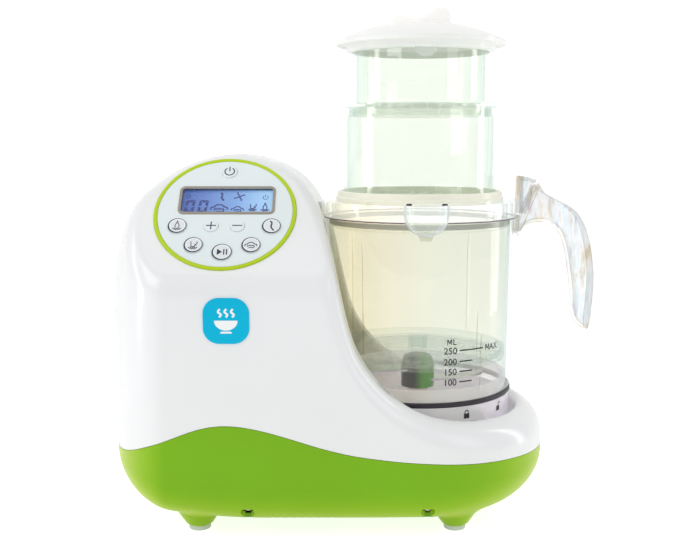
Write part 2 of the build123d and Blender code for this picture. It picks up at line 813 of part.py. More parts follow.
with BuildPart() as thermostat:
    with BuildSketch(level(150)):
        with Locations(THERMOSTAT):
            Circle(5.5)
    extrude(amount=4)
    with BuildSketch(level(154)):
        with Locations(THERMOSTAT):
            Rectangle(9, 3)
    extrude(amount=4)
save(thermostat, "thermostat")

# water runs from the tank down a half-round loop and up into the boiler
loop_radius = hypot(BOILER[0] - TANK_PORT[0], BOILER[1] - TANK_PORT[1]) / 2
with BuildPart() as feed_hose:
    with BuildLine():
        ThreePointArc((*TANK_PORT, Z_PORT),
                      (*midpoint(TANK_PORT, BOILER), Z_PORT - loop_radius),
                      (*BOILER, Z_PORT))
    with BuildSketch(Plane(origin=(*TANK_PORT, Z_PORT), z_dir=(0, 0, -1))):
        Circle(PIPE_RADIUS)
    sweep()
save(feed_hose, "feed_hose")

# soft steam nozzle: an elbow through the wall, with its lip just short of the jar lid
with BuildPart() as steam_nozzle:
    with BuildSketch(side_plane(-82, 0, Z_NOZZLE)):
        Circle(5)
    extrude(amount=20.5)
    with BuildSketch(side_plane(-69, 0, Z_NOZZLE)):
        Circle(6.4)
    extrude(amount=1.6)
    with BuildSketch(level(Z_ELBOW)):
        with Locations((NOZZLE_X, 0)):
            Circle(4.6)
    extrude(amount=Z_NOZZLE - Z_ELBOW)
    # bores of both legs
    with BuildSketch(side_plane(-79, 0, Z_NOZZLE)):
        Circle(2.6)
    extrude(amount=30, mode=Mode.SUBTRACT)
    with BuildSketch(level(170)):
        with Locations((NOZZLE_X, 0)):
            Circle(2.2)
    extrude(amount=20, mode=Mode.SUBTRACT)
save(steam_nozzle, "steam_nozzle")

hose_start = (*STEAM_PORT, Z_STEAM_PORT)
hose_end = (NOZZLE_X, 0, Z_ELBOW)
hose_middle = midpoint(hose_start, hose_end)
with BuildPart() as steam_hose:
    with BuildLine():
        rise = TangentArc(hose_start, hose_middle, tangent=(0, 0, 1))
        TangentArc(hose_middle, hose_end, tangent=rise % 1)
    with BuildSketch(Plane(origin=hose_start, z_dir=(0, 0, 1))):
        Circle(PIPE_RADIUS)
    sweep()
save(steam_hose, "steam_hose")

# ================================================================= cord
CORD_RADIUS = 3.2
CORD_Y = 85.6              # the cord lies in one upright plane behind the rear wall
Z_CORD = 38                # lower end of the cord, inside the grommet
PLUG_X, Z_PLUG = -137, 118

with BuildPart() as cord_grommet:
    with BuildSketch(front_plane(HALF_DEPTH)):
        with Locations((CORD_X, 42)):
            RectangleRounded(15, 24, 4)
    extrude(amount=-11.5)
    fillet(cord_grommet.faces().sort_by(Axis.Y)[-1].edges(), radius=2)
    with BuildSketch(front_plane(72)):
        with Locations((CORD_X, Z_CORD_ENTRY)):
            Circle(6)
    extrude(amount=-9)
    with BuildSketch(level(Z_CORD)):
        with Locations((CORD_X, CORD_Y)):
            Circle(CORD_RADIUS)
    extrude(amount=20, mode=Mode.SUBTRACT)
save(cord_grommet, "cord_grommet")

# up from the grommet, then round both cleats in a spiral that ends at the plug
with BuildPart() as power_cord:
    with BuildLine(front_plane(CORD_Y)):
        Line((CORD_X, Z_CORD), (CORD_X, 118))
        RadiusArc((CORD_X, 118), (COIL_RIGHT, 139), -21)
        Line((COIL_RIGHT, 139), (COIL_LEFT, 139))
        ThreePointArc((COIL_LEFT, 139), (-167.5, 121.5), (COIL_LEFT, 104))
        Line((COIL_LEFT, 104), (COIL_RIGHT, 104))
        ThreePointArc((COIL_RIGHT, 104), (-67, 118), (COIL_RIGHT, 132))
        Line((COIL_RIGHT, 132), (COIL_LEFT, 132))
        ThreePointArc((COIL_LEFT, 132), (-157, 125), (COIL_LEFT, Z_PLUG))
        Line((COIL_LEFT, Z_PLUG), (PLUG_X, Z_PLUG))
    with BuildSketch(Plane(origin=(CORD_X, CORD_Y, Z_CORD), z_dir=(0, 0, 1))):
        Circle(CORD_RADIUS)
    sweep()
save(power_cord, "power_cord")

with BuildPart() as power_plug:
    with BuildSketch(side_plane(PLUG_X, CORD_Y, Z_PLUG)):
        RectangleRounded(9.5, 17, 4)
    extrude(amount=28)
    fillet(power_plug.faces().sort_by(Axis.X)[0].edges(), radius=2)
    # two flat pins
    with BuildSketch(side_plane(-110, CORD_Y, Z_PLUG)):
        with Locations((0, 5), (0, -5)):
            Rectangle(4.5, 1.6)
    extrude(amount=15)
save(power_plug, "power_plug")

# ================================================================= jar
JAR_FOOT_RADIUS, JAR_RIM_RADIUS = 58.5, 59.5
JAR_WALL = 2.5
FOOT_BORE = JAR_FOOT_RADIUS - JAR_WALL
RIM_BORE = JAR_RIM_RADIUS - JAR_WALL
Z_JAR, Z_RIM = 80.0, 186.6
HUB_BORE = 6.5             # hole in the jar base for the shaft bush
Z_HUB, Z_HUB_TOP = 66, 76.5
Z_BLADE_SHAFT = 60.2       # lower end of the blade shaft

# turned profiles: radius, z
JAR_BASE = [
    (HUB_BORE, Z_HUB), (12, Z_HUB), (12, 72), (53.5, 72), (55.5, 70), (55.5, 52), (58, 52),
    (58, 77), (55.9, 77), (55.9, 87.5), (53.6, 87.5), (53.6, 75), (12, 75), (12, Z_HUB_TOP),
    (HUB_BORE, Z_HUB_TOP),
]
SHAFT_BUSH = [(4.05, Z_HUB), (HUB_BORE, Z_HUB), (HUB_BORE, Z_HUB_TOP), (4.05, Z_HUB_TOP)]
JAR_GASKET = [(55.95, 77), (58.9, 77), (58.9, Z_JAR), (55.95, Z_JAR)]
save(turned(JAR_BASE), "jar_base")
save(turned(SHAFT_BUSH), "shaft_bush")
save(turned(JAR_GASKET), "jar_gasket")

# handle in the vertical plane through its middle: x, z
HANDLE_OUTSIDE = [
    (63.9, 211.8), (71.7, 210.4), (82.3, 206.2), (93, 201.3), (101.7, 193.6), (107.6, 184.4),
    (111.6, 172.4), (112.8, 158.1), (113.4, 140.1), (112.5, 125.7), (112.1, 116.9),
]
HANDLE_INSIDE = [
    (102.8, 114.4), (98.4, 119.8), (97.1, 136.5), (94.5, 154.5), (91.9, 167.3), (88.1, 175.9),
    (83, 180.1), (78, 182.2), (72.4, 182.3), (66.1, 180.1), (62.7, 176.6), (58.2, 170.5),
]
# line between the handle and its outer cover
HANDLE_SEAM = [
    (72.4, 210.0), (75.3, 202.7), (81.1, 198.5), (88.3, 195), (96.1, 190.1), (100.6, 184.4),
    (104.4, 175.9), (107.7, 161.6), (109.2, 147.3), (109.0, 136.5), (107.7, 122),
    (106.2, 114.4),
]
HALF_HANDLE = 10.5

with BuildPart() as handle_blank:
    with BuildSketch(front_plane(HALF_HANDLE)):
        with BuildLine():
            Spline(*HANDLE_OUTSIDE)
            Polyline(HANDLE_OUTSIDE[-1], (108.6, 114.4), HANDLE_INSIDE[0])
            Spline(*HANDLE_INSIDE)
            Polyline(HANDLE_INSIDE[-1], (57.8, 186), (61.5, 211), HANDLE_OUTSIDE[0])
        make_face()
    extrude(amount=2 * HALF_HANDLE)

with BuildPart() as outside_seam:
    with BuildSketch(front_plane(20)):
        with BuildLine():
            seam = Spline(*HANDLE_SEAM)
            Polyline(seam @ 1, (107, 100), (130, 100), (130, 230), (72, 230), seam @ 0)
        make_face()
    extrude(amount=40)

with BuildPart() as handle_cover:
    add(handle_blank.part)
    add(outside_seam.part, mode=Mode.INTERSECT)
save(handle_cover, "handle_cover")

jar_wall = turned([(FOOT_BORE, Z_JAR), (JAR_FOOT_RADIUS, Z_JAR), (JAR_RIM_RADIUS, Z_RIM),
                   (RIM_BORE, Z_RIM)])
jar_bore = turned([(0, Z_JAR - 1), (FOOT_BORE, Z_JAR - 1), (FOOT_BORE, Z_JAR),
                   (RIM_BORE, Z_RIM), (RIM_BORE, Z_RIM + 1), (0, Z_RIM + 1)])
with BuildPart() as jar_body:
    add(jar_wall.part)
    add(handle_blank.part)
    add(outside_seam.part, mode=Mode.SUBTRACT)
    # room for the lid beside the handle's root
    with BuildSketch(level(Z_RIM)):
        Circle(61.5)
    extrude(amount=40, mode=Mode.SUBTRACT)
    # pouring spout at the front, an open V
    with BuildSketch(level(176)):
        with BuildLine():
            Polyline((-8, -57), (-3, -65), (3, -65), (8, -57), close=True)
        make_face()
    extrude(amount=Z_RIM - 176)
    # clear what the handle and spout left inside the jar
    add(jar_bore.part, mode=Mode.SUBTRACT)
    with BuildSketch(level(179)):
        with BuildLine():
            Polyline((-5.4, -56), (-1.6, -63), (1.6, -63), (5.4, -56), close=True)
        make_face()
    extrude(amount=10, mode=Mode.SUBTRACT)
    # inner ribs, and ledges that hold the steaming tray
    with BuildSketch(level(104)):
        with PolarLocations(56.6, 4, start_angle=-41):
            Rectangle(2.4, 2)
    extrude(amount=74)
    with BuildSketch(level(90)):
        with PolarLocations(55.2, 4, start_angle=4):
            Rectangle(3.4, 5)
    extrude(amount=8)
save(jar_body, "jar_body")

with BuildPart() as blade_shaft:
    with BuildSketch(level(Z_BLADE_SHAFT)):
        Circle(SHAFT_RADIUS)
    extrude(amount=34)
save(blade_shaft, "blade_shaft")

# upper coupling, its dogs a quarter turn from those of the lower one
with BuildPart() as jar_coupling:
    with BuildSketch(level(Z_BLADE_SHAFT)):
        Circle(COUPLING_RADIUS)
        Circle(SHAFT_RADIUS, mode=Mode.SUBTRACT)
    extrude(amount=4)
    with BuildSketch(level(54.4)):
        Circle(DOG_RADIUS)
        Circle(DOG_BORE, mode=Mode.SUBTRACT)
        Rectangle(DOG_WIDTH, 40, mode=Mode.INTERSECT)
    extrude(amount=Z_BLADE_SHAFT - 54.4)
save(jar_coupling, "jar_coupling")

# two sickle blades at two heights, half a turn apart
with BuildPart() as blades:
    for z, turn in ((81, radians(20)), (87.5, radians(200))):
        with BuildSketch(Plane(origin=(0, 0, z), x_dir=(cos(turn), sin(turn), 0),
                               z_dir=(0, 0, 1))):
            with BuildLine():
                Spline((0, -7), (14, -11), (30, -11), (43, -5), (50, 7))
                Spline((50, 7), (38, 2), (24, 1.5), (10, 5), (0, 7))
                Line((0, 7), (0, -7))
            make_face()
            Circle(8)
            Circle(SHAFT_RADIUS, mode=Mode.SUBTRACT)
        extrude(amount=1.2)
save(blades, "blades")

BLADE_HUB = [
    (4, 77), (10.6, 77), (10.6, 92), (8.5, 96.5), (6, 97.4), (0, 97.4), (0, 94.2), (4, 94.2),
]
hub_form = turned(BLADE_HUB)
with BuildPart() as blade_hub:
    add(hub_form.part)
    add(blades.part, mode=Mode.SUBTRACT)
save(blade_hub, "blade_hub")

# rings of holes here and in the baskets: ring radius, number of holes
TRAY_HOLES = [(16, 8), (27, 14), (38, 20), (48, 26)]
tray_form = turned([(0, 98), (54.8, 98), (54.8, 104), (53, 104), (53, 100), (0, 100)])
with BuildPart() as steam_tray:
    add(tray_form.part)
    with BuildSketch(level(98)):
        for ring_radius, count in TRAY_HOLES:
            with PolarLocations(ring_radius, count):
                Circle(1.8)
    extrude(amount=4, mode=Mode.SUBTRACT)
    # short tube standing in the middle
    with BuildSketch(level(100)):
        Circle(6)
        Circle(4.4, mode=Mode.SUBTRACT)
    extrude(amount=9)
save(steam_tray, "steam_tray")

# ================================================================= jar lid
JAR_LID = [
    (18, 195.5), (53, 195.5), (53, 180), (55.2, 180), (55.2, 195.5), (58.6, 195.5),
    (58.6, Z_RIM), (61, Z_RIM), (61, 196.6), (59.6, 198), (51.4, 198), (51.4, 202.4),
    (48.9, 202.4), (48.9, 198), (18, 198),
]
SKIRT_RADIUS = 55.2        # outside of the lid's inner skirt

lid_form = turned(JAR_LID)
with BuildPart() as jar_lid:
    add(lid_form.part)
    # cover over the pouring spout, open below
    with BuildSketch(level(179.6)):
        with BuildLine():
            Polyline((-11.85, -59.4), (-11.85, -62), (-7, -68.5), (7, -68.5), (11.85, -62),
                     (11.85, -59.4), close=True)
        make_face()
    extrude(amount=18.4)
    with BuildSketch(level(175)):
        with BuildLine():
            Polyline((-9.9, -50), (-9.9, -61.6), (-6, -66.6), (6, -66.6), (9.9, -61.6),
                     (9.9, -50), close=True)
        make_face()
        Circle(SKIRT_RADIUS + 0.1, mode=Mode.SUBTRACT)
    extrude(amount=20.5, mode=Mode.SUBTRACT)
    # room for the jar's wall
    with BuildSketch(level(175)):
        Circle(59.7)
        Circle(SKIRT_RADIUS + 0.1, mode=Mode.SUBTRACT)
    extrude(amount=Z_RIM - 175, mode=Mode.SUBTRACT)
    # steam inlet on the housing side
    with BuildSketch(side_plane(-64, 0, Z_NOZZLE)):
        Circle(3.6)
    extrude(amount=15, mode=Mode.SUBTRACT)
save(jar_lid, "jar_lid")

LID_SEAL = [(SKIRT_RADIUS, 182), (56.8, 182), (56.8, 185), (SKIRT_RADIUS, 185)]
save(turned(LID_SEAL), "lid_seal")

# ================================================================= steamer
BASKET_HOLE = 1.9          # radius of the holes in both basket floors

LOWER_BASKET = [
    (0, 198), (46.6, 198), (48.2, 201), (47.4, 205), (47.4, 253.6), (44.2, 253.6),
    (44.2, 250), (45.4, 248), (45.4, 204), (44, 200), (0, 200),
]
LOWER_HOLES = [(8, 6), (16, 12), (24, 16), (32, 20), (39, 26)]
lower_form = turned(LOWER_BASKET)
with BuildPart() as lower_basket:
    add(lower_form.part)
    with BuildSketch(level(197)):
        for ring_radius, count in LOWER_HOLES:
            with PolarLocations(ring_radius, count):
                Circle(BASKET_HOLE)
    extrude(amount=4, mode=Mode.SUBTRACT)
    # notch for the upper basket's front tab
    with BuildSketch(level(249)):
        with Locations((0, -46)):
            Rectangle(16.4, 8)
    extrude(amount=8, mode=Mode.SUBTRACT)
save(lower_basket, "lower_basket")

UPPER_BASKET = [
    (0, 253.6), (40.5, 253.6), (42, 252), (42, 248), (43.9, 248), (43.9, 253.6),
    (47.4, 253.6), (47.4, 256), (46.8, 256.6), (41.6, 256.8), (41.6, 290.5), (39.6, 290.5),
    (39.6, 255.6), (0, 255.6),
]
UPPER_HOLES = [(8, 6), (16, 12), (24, 16), (33, 22)]
upper_form = turned(UPPER_BASKET)
with BuildPart() as upper_basket:
    add(upper_form.part)
    # front tab
    with BuildSketch(level(249.2)):
        with Locations((0, -45.2)):
            Rectangle(16, 3.6)
    extrude(amount=5.8)
    with BuildSketch(level(252)):
        for ring_radius, count in UPPER_HOLES:
            with PolarLocations(ring_radius, count):
                Circle(BASKET_HOLE)
    extrude(amount=6, mode=Mode.SUBTRACT)
save(upper_basket, "upper_basket")

# lid section: radius, z
LID_DOME = [(0, 304.9), (20, 303.6), (36, 300), (48, 295.4), (51.6, 293.8)]
LID_RIM = [
    (51.6, 293.8), (52.6, 293), (52.6, 290.6), (51.2, 290.6), (50.2, 292.2), (46, 292.2),
    (46, 287.4), (42, 286.6), (42, 290.5), (39.4, 290.5), (39.4, 296.6),
]
LID_UNDERSIDE = [(39.4, 296.6), (20, 301.7), (0, 302.9)]
# crest of the fin handle, left to right: x, z
FIN = [
    (-20.9, 302.6), (-19.1, 307.3), (-16.7, 309.4), (-13.7, 310), (-9.9, 309.2),
    (-5.6, 308.5), (-0.7, 308.9), (3, 310.9), (6, 313.3), (8.5, 314.7), (10.9, 315.2),
    (14, 314.7), (16.8, 312.7), (18.4, 309.1), (19.0, 302.6),
]
HALF_FIN = 5.5

with BuildPart() as steamer_lid:
    with BuildSketch(Plane.XZ):
        with BuildLine():
            Line(LID_UNDERSIDE[-1], LID_DOME[0])
            Spline(*LID_DOME)
            Polyline(*LID_RIM)
            Spline(*LID_UNDERSIDE)
        make_face()
    revolve(axis=Axis.Z)
    # wave-shaped fin handle
    with BuildSketch(front_plane(HALF_FIN)):
        with BuildLine():
            Spline(*FIN)
            Line(FIN[-1], FIN[0])
        make_face()
    extrude(amount=2 * HALF_FIN)
    # steam vent
    with BuildSketch(level(290)):
        with Locations((5.5, -25)):
            SlotOverall(14, 3)
    extrude(amount=20, mode=Mode.SUBTRACT)
save(steamer_lid, "steamer_lid")
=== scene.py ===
"""A steamer and blender: housing with tank and controls, clear jar, two baskets and a lid.

The front faces -Y and up is +Z. The jar stands on the design origin with its handle
towards +X; the control slope is towards -X. Design numbers are millimetres from the
jar's axis and azimuths run in degrees from the front (-Y) round to +X. Meshes are in metres.
"""
import math

import bmesh
import bpy
import numpy as np
from mathutils import Matrix, Vector


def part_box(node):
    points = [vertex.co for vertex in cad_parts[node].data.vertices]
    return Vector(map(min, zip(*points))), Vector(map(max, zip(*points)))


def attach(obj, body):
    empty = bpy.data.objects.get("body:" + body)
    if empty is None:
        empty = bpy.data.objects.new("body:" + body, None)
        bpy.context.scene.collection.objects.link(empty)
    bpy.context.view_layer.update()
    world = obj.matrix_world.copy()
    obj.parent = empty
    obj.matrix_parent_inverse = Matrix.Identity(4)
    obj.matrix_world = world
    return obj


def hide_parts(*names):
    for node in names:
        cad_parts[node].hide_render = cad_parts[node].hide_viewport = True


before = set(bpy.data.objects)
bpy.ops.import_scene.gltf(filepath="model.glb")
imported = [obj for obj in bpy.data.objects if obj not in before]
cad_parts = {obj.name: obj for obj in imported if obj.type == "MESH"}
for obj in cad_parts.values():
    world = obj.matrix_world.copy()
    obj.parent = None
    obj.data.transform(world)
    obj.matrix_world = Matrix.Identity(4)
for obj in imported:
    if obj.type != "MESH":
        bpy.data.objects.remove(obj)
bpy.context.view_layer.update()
SCENE = bpy.context.scene

gasket_lo, gasket_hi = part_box("jar_gasket")
AXIS_X = (gasket_lo.x + gasket_hi.x) / 2
AXIS_Y = (gasket_lo.y + gasket_hi.y) / 2

# Control slope: its centre and its own axes
TILT = math.radians(43.4)
PANEL = np.array([-116.7, -45.0, 191.5])
PANEL_OUT = np.array([0.0, -math.cos(TILT), math.sin(TILT)])
PANEL_RIGHT = np.array([1.0, 0.0, 0.0])
PANEL_UP = np.array([0.0, math.sin(TILT), math.cos(TILT)])


def point(x, y, z):
    """A design point in metres."""
    return Vector((AXIS_X + x / 1000, AXIS_Y + y / 1000, z / 1000))


def to_metres(points):
    points = np.asarray(points, float) / 1000
    points[:, 0] += AXIS_X
    points[:, 1] += AXIS_Y
    return points


# ------------------------------------------------------------------ shader nodes
class Nodes:
    """Builds the node tree of one material or world."""

    def __init__(self, block, coords="Object", output="OutputMaterial"):
        block.use_nodes = True
        self.block = block
        self.tree = block.node_tree
        self.tree.nodes.clear()
        self.output = self.add(output)
        self.coords = self.add("TexCoord").outputs[coords]

    def link(self, source, target):
        self.tree.links.new(source, target)

    def add(self, kind, inputs=None, **properties):
        """Adds a node; each input takes a value or another node's output."""
        node = self.tree.nodes.new("ShaderNode" + kind)
        for key, value in properties.items():
            setattr(node, key, value)
        for key, value in (inputs or {}).items():
            if isinstance(value, bpy.types.NodeSocket):
                self.link(value, node.inputs[key])
            else:
                node.inputs[key].default_value = value
        return node

    def noise(self, scale, detail=2.0, rough=0.5, coords=None):
        return self.add("TexNoise", {"Scale": scale, "Detail": detail, "Roughness": rough,
                                     "Vector": coords or self.coords}).outputs["Fac"]

    def ramp(self, factor, stops):
        node = self.add("ValToRGB", {"Fac": factor})
        elements = node.color_ramp.elements
        while len(elements) < len(stops):
            elements.new(0.5)
        for element, (position, colour) in zip(elements, stops):
            element.position = position
            element.color = (*colour, 1.0)
        return node.outputs["Color"]

    def math(self, operation, a, b, clamp=False):
        return self.add("Math", {0: a, 1: b}, operation=operation, use_clamp=clamp).outputs[0]

    def scaled(self, value, factor, offset, clamp=False):
        """value * factor + offset"""
        return self.math("ADD", self.math("MULTIPLY", value, factor), offset, clamp)

    def bump(self, height, strength, distance):
        return self.add("Bump", {"Strength": strength, "Distance": distance,
                                 "Height": height}).outputs["Normal"]

    def facing(self):
        return self.add("LayerWeight", {"Blend": 0.5}).outputs["Facing"]

    def fresnel(self, facing, rise, head_on):
        """Share of gloss: head_on towards the eye, more where the wall turns away."""
        return self.scaled(self.math("POWER", facing, 5.0), rise, head_on, clamp=True)

    def map_range(self, value, low, high):
        return self.add("MapRange", {0: value, 1: low, 2: high}).outputs[0]

    def mix_rgb(self, factor, a, b, blend="MIX"):
        return self.add("MixRGB", {0: factor, 1: a, 2: b}, blend_type=blend).outputs[0]

    def mix_shader(self, factor, a, b):
        return self.add("MixShader", {0: factor, 1: a, 2: b}).outputs[0]

    def finish(self, surface):
        self.link(surface, self.output.inputs["Surface"])
        return self.block


def shade(colour, factor):
    return tuple(min(1.0, max(0.0, v * factor)) for v in colour)


def srgb(code):
    """Linear colour from a six-digit hex code."""
    parts = [int(code[i:i + 2], 16) / 255 for i in (0, 2, 4)]
    return tuple(v / 12.92 if v <= 0.04045 else ((v + 0.055) / 1.055) ** 2.4 for v in parts)


def plastic(name, colour, rough=0.3, spread=0.04, grain=900.0, bump=0.15, coat=0.0, metal=0.0,
            sss=0.0, spec=0.5, emit=0.0, extra=None):
    """Plastic, rubber or metal, finely mottled in colour and gloss, with a moulded grain.

    spread is the colour mottling, grain the scale of the bump; extra edits the result.
    """
    nodes = Nodes(bpy.data.materials.new(name))
    bsdf = nodes.add("BsdfPrincipled", {
        "Base Color": nodes.ramp(nodes.noise(14.0), [(0.3, shade(colour, 1 - spread)),
                                                     (0.7, shade(colour, 1 + spread))]),
        "Roughness": nodes.scaled(nodes.noise(55.0), rough * 0.35, rough * 0.83),
        "Normal": nodes.bump(nodes.noise(grain, 3.0, 0.6), bump, 0.00006),
        "Metallic": metal, "Coat Weight": coat, "Coat Roughness": 0.05,
        "Specular IOR Level": spec})
    if sss:
        bsdf.inputs["Subsurface Weight"].default_value = sss
        bsdf.inputs["Subsurface Radius"].default_value = (0.004, 0.004, 0.004)
    # emit makes the surface glow: for the backdrop and the display's segments, and as painted
    # light on pale plastics.
    if emit:
        bsdf.inputs["Emission Color"].default_value = (*colour, 1)
        bsdf.inputs["Emission Strength"].default_value = emit
    if extra:
        extra(nodes, bsdf)
    return nodes.finish(bsdf.outputs[0])


def clear(name, tint, edge, haze=0.0, haze_col=(0.9, 0.93, 0.93), rough=0.03, gloss=1.0,
          power=2.0, emit=0.0, painted_warm_light=None):
    """Thin clear plastic: see-through, tinted towards edge where the wall turns away.

    haze mixes in a milky body of haze_col; the tint is multiplied on the -X side by a yellowish
    colour, painted light on that side.
    """
    nodes = Nodes(bpy.data.materials.new(name))
    facing = nodes.facing()
    colour = nodes.ramp(nodes.math("POWER", facing, power), [(0.0, tint), (1.0, edge)])
    if painted_warm_light:
        x = nodes.add("SeparateXYZ", {0: nodes.coords}).outputs[0]
        across = nodes.map_range(x, AXIS_X - 0.045, AXIS_X + 0.01)
        side = nodes.ramp(across, [(0.0, painted_warm_light), (1.0, (1, 1, 1))])
        colour = nodes.mix_rgb(1.0, colour, side, "MULTIPLY")
    body = nodes.add("BsdfTransparent", {"Color": colour}).outputs[0]
    milk = (*haze_col, 1)
    if haze:
        milky = nodes.mix_shader(0.5, nodes.add("BsdfTranslucent", {"Color": milk}).outputs[0],
                                 nodes.add("BsdfDiffuse", {"Color": milk}).outputs[0])
        amount = nodes.scaled(nodes.noise(25.0), haze * 0.3, haze * 0.85, clamp=True)
        body = nodes.mix_shader(amount, body, milky)
    # Painted light: emit adds a milky glow that brightens the part, though it is no lamp.
    if emit:
        glow = nodes.add("Emission", {"Color": milk, "Strength": emit}).outputs[0]
        body = nodes.add("AddShader", {0: body, 1: glow}).outputs[0]
    shine = nodes.add("BsdfGlossy", {
        "Color": (1, 1, 1, 1),
        "Roughness": nodes.scaled(nodes.noise(60.0), rough * 0.5, rough * 0.7),
        "Normal": nodes.bump(nodes.noise(35.0), 0.25, 0.0004)}).outputs[0]
    return nodes.finish(nodes.mix_shader(nodes.fresnel(facing, 0.75, 0.042 * gloss), body, shine))


def painted_glint_handle():
    """Thick clear plastic: long faint bands of painted glint; amber-brown grazing edges, partly
    own tint and partly painted refraction colour.
    """
    nodes = Nodes(bpy.data.materials.new("handle_clear"))
    stretched = nodes.add("Mapping", {"Scale": (1.0, 0.5, 0.2),
                                      "Rotation": (0, math.radians(14), 0), 0: nodes.coords})
    painted_glint_bands = nodes.noise(230.0, rough=0.6, coords=stretched.outputs[0])
    hue = nodes.ramp(painted_glint_bands, [
        (0.28, (0.80, 0.72, 0.58)), (0.35, (0.94, 0.90, 0.83)), (0.42, (0.95, 0.95, 0.955)),
        (0.5, (0.99, 0.99, 1.0)), (0.56, (0.90, 0.955, 0.97)), (0.63, (0.955, 0.95, 0.96)),
        (0.70, (0.76, 0.70, 0.86))])
    facing = nodes.facing()
    edge = nodes.ramp(nodes.math("POWER", facing, 2.2), [
        (0.0, (1, 1, 1)), (0.55, (0.97, 0.95, 0.91)), (0.85, (0.86, 0.78, 0.62)),
        (1.0, (0.55, 0.45, 0.3))])
    colour = nodes.mix_rgb(1.0, hue, edge, "MULTIPLY")
    body = nodes.mix_shader(0.10, nodes.add("BsdfTransparent", {"Color": colour}).outputs[0],
                            nodes.add("BsdfDiffuse", {"Color": colour}).outputs[0])
    shine = nodes.add("BsdfGlossy", {
        "Roughness": 0.04, "Normal": nodes.bump(nodes.noise(35.0), 0.3, 0.0005)}).outputs[0]
    return nodes.finish(nodes.mix_shader(nodes.fresnel(facing, 0.7, 0.07), body, shine))


def lcd_backlight():
    """Blue display: deeper at the left, pale at the right, dark along the top edge."""
    nodes = Nodes(bpy.data.materials.new("lcd_backlight"))
    place = nodes.add("SeparateXYZ", {0: nodes.coords})
    across = nodes.map_range(place.outputs[0], AXIS_X + (PANEL[0] - 27) / 1000,
                             AXIS_X + (PANEL[0] + 28) / 1000)
    height = nodes.map_range(place.outputs[2], PANEL[2] / 1000,
                             (PANEL[2] + PANEL_UP[2] * 18.0) / 1000)
    mottle = nodes.math("MULTIPLY", nodes.math("SUBTRACT", nodes.noise(60.0), 0.5), 0.12)
    blue = nodes.ramp(nodes.math("ADD", across, mottle), [
        (0.0, srgb("28509C")), (0.25, srgb("5475B4")), (0.62, srgb("7CA2D0")),
        (1.0, srgb("A4CCE4"))])
    top = nodes.ramp(height, [(0.0, (1, 1, 1)), (0.9, (1, 1, 1)), (0.97, (0.25, 0.3, 0.6)),
                              (1.0, (0.12, 0.16, 0.45))])
    colour = nodes.mix_rgb(1.0, blue, top, "MULTIPLY")
    return nodes.finish(nodes.add("BsdfPrincipled", {
        "Base Color": colour, "Emission Color": colour, "Emission Strength": 0.38,
        "Roughness": 0.5}).outputs[0])


def painted_sheen_edge(nodes, bsdf):
    """Painted sheen: lighter and yellower where the surface curves away, standing in for
    reflections of the soft lights.
    """
    base = bsdf.inputs["Base Color"]
    turned = nodes.math("POWER", nodes.facing(), 1.5)
    edge = (*srgb("C2D80A"), 1)
    nodes.link(nodes.mix_rgb(turned, base.links[0].from_socket, edge), base)


def painted_shade_flank(nodes, bsdf):
    """Painted shade: near-black on the -X flank, with a soft change to the base colour."""
    base = bsdf.inputs["Base Color"]
    coords = nodes.add("TexCoord").outputs["Object"]
    x = nodes.add("SeparateXYZ", {0: coords}).outputs[0]
    across = nodes.map_range(x, AXIS_X - 0.0025, AXIS_X + 0.0020)
    dark = (0.006, 0.008, 0.006, 1)
    nodes.link(nodes.mix_rgb(across, dark, base.links[0].from_socket), base)


def dimmer_off_camera(nodes, bsdf):
    """Bright to the eye, gentler as a light on the object."""
    camera_ray = nodes.add("LightPath").outputs["Is Camera Ray"]
    strength = nodes.add("MapRange", {0: camera_ray, 3: 0.42, 4: 1.0}).outputs[0]
    nodes.link(strength, bsdf.inputs["Emission Strength"])


# ------------------------------------------------------------------ materials
WHITE = plastic("white_gloss_abs", srgb("F1F2F3"), rough=0.24, spread=0.012, grain=500,
                bump=0.05, coat=0.35)
# The green's lighter, yellower edges are painted sheen.
GREEN = plastic("lime_gloss_abs", srgb("7AB604"), rough=0.3, spread=0.05, grain=500, bump=0.05,
                coat=0.12, spec=0.2, extra=painted_sheen_edge)
FASCIA = plastic("fascia_satin", srgb("E8F1F3"), rough=0.42, spread=0.02, grain=1400, bump=0.2)
BUTTON = plastic("button_satin", srgb("E4EAEB"), rough=0.38, spread=0.02, grain=1400, bump=0.2)
INK = plastic("ink_navy", srgb("1A2547"), rough=0.4, spread=0.12, grain=1500, bump=0.2)
INK_BLACK = plastic("ink_black", srgb("15161A"), rough=0.4, spread=0.15, grain=1500, bump=0.2)
PRINT_WHITE = plastic("print_white", srgb("FAFCFD"), rough=0.35, spread=0.02, grain=1500,
                      bump=0.1)
LCD_FRAME = plastic("lcd_frame_grey", srgb("9B9285"), rough=0.35, spread=0.05, bump=0.1)
LCD_INK = plastic("lcd_segment", srgb("16307C"), rough=0.6, spread=0.08, grain=1500, bump=0.05,
                  emit=0.08)
SEAL = plastic("black_silicone", (0.018, 0.014, 0.022), rough=0.45, spread=0.3, grain=700,
               bump=0.3)
# The jar wall is yellowish on its -X side: painted light.
JAR = clear("jar_clear_wall", (0.885, 0.89, 0.853), (0.87, 0.935, 0.95), rough=0.02, gloss=0.9,
            power=3.0, painted_warm_light=(1.0, 0.972, 0.925))
# The base ring glows by emit: painted light.
BASE_CLEAR = clear("jar_base_clear", (0.955, 0.95, 0.965), (0.76, 0.71, 0.84), haze=0.3,
                   haze_col=(0.97, 0.94, 0.96), gloss=1.4, emit=0.12)
BASKET = clear("basket_clear_tint", (0.952, 0.966, 0.938), (0.88, 0.95, 0.925), haze=0.02,
               rough=0.02, gloss=2.2, power=2.4)
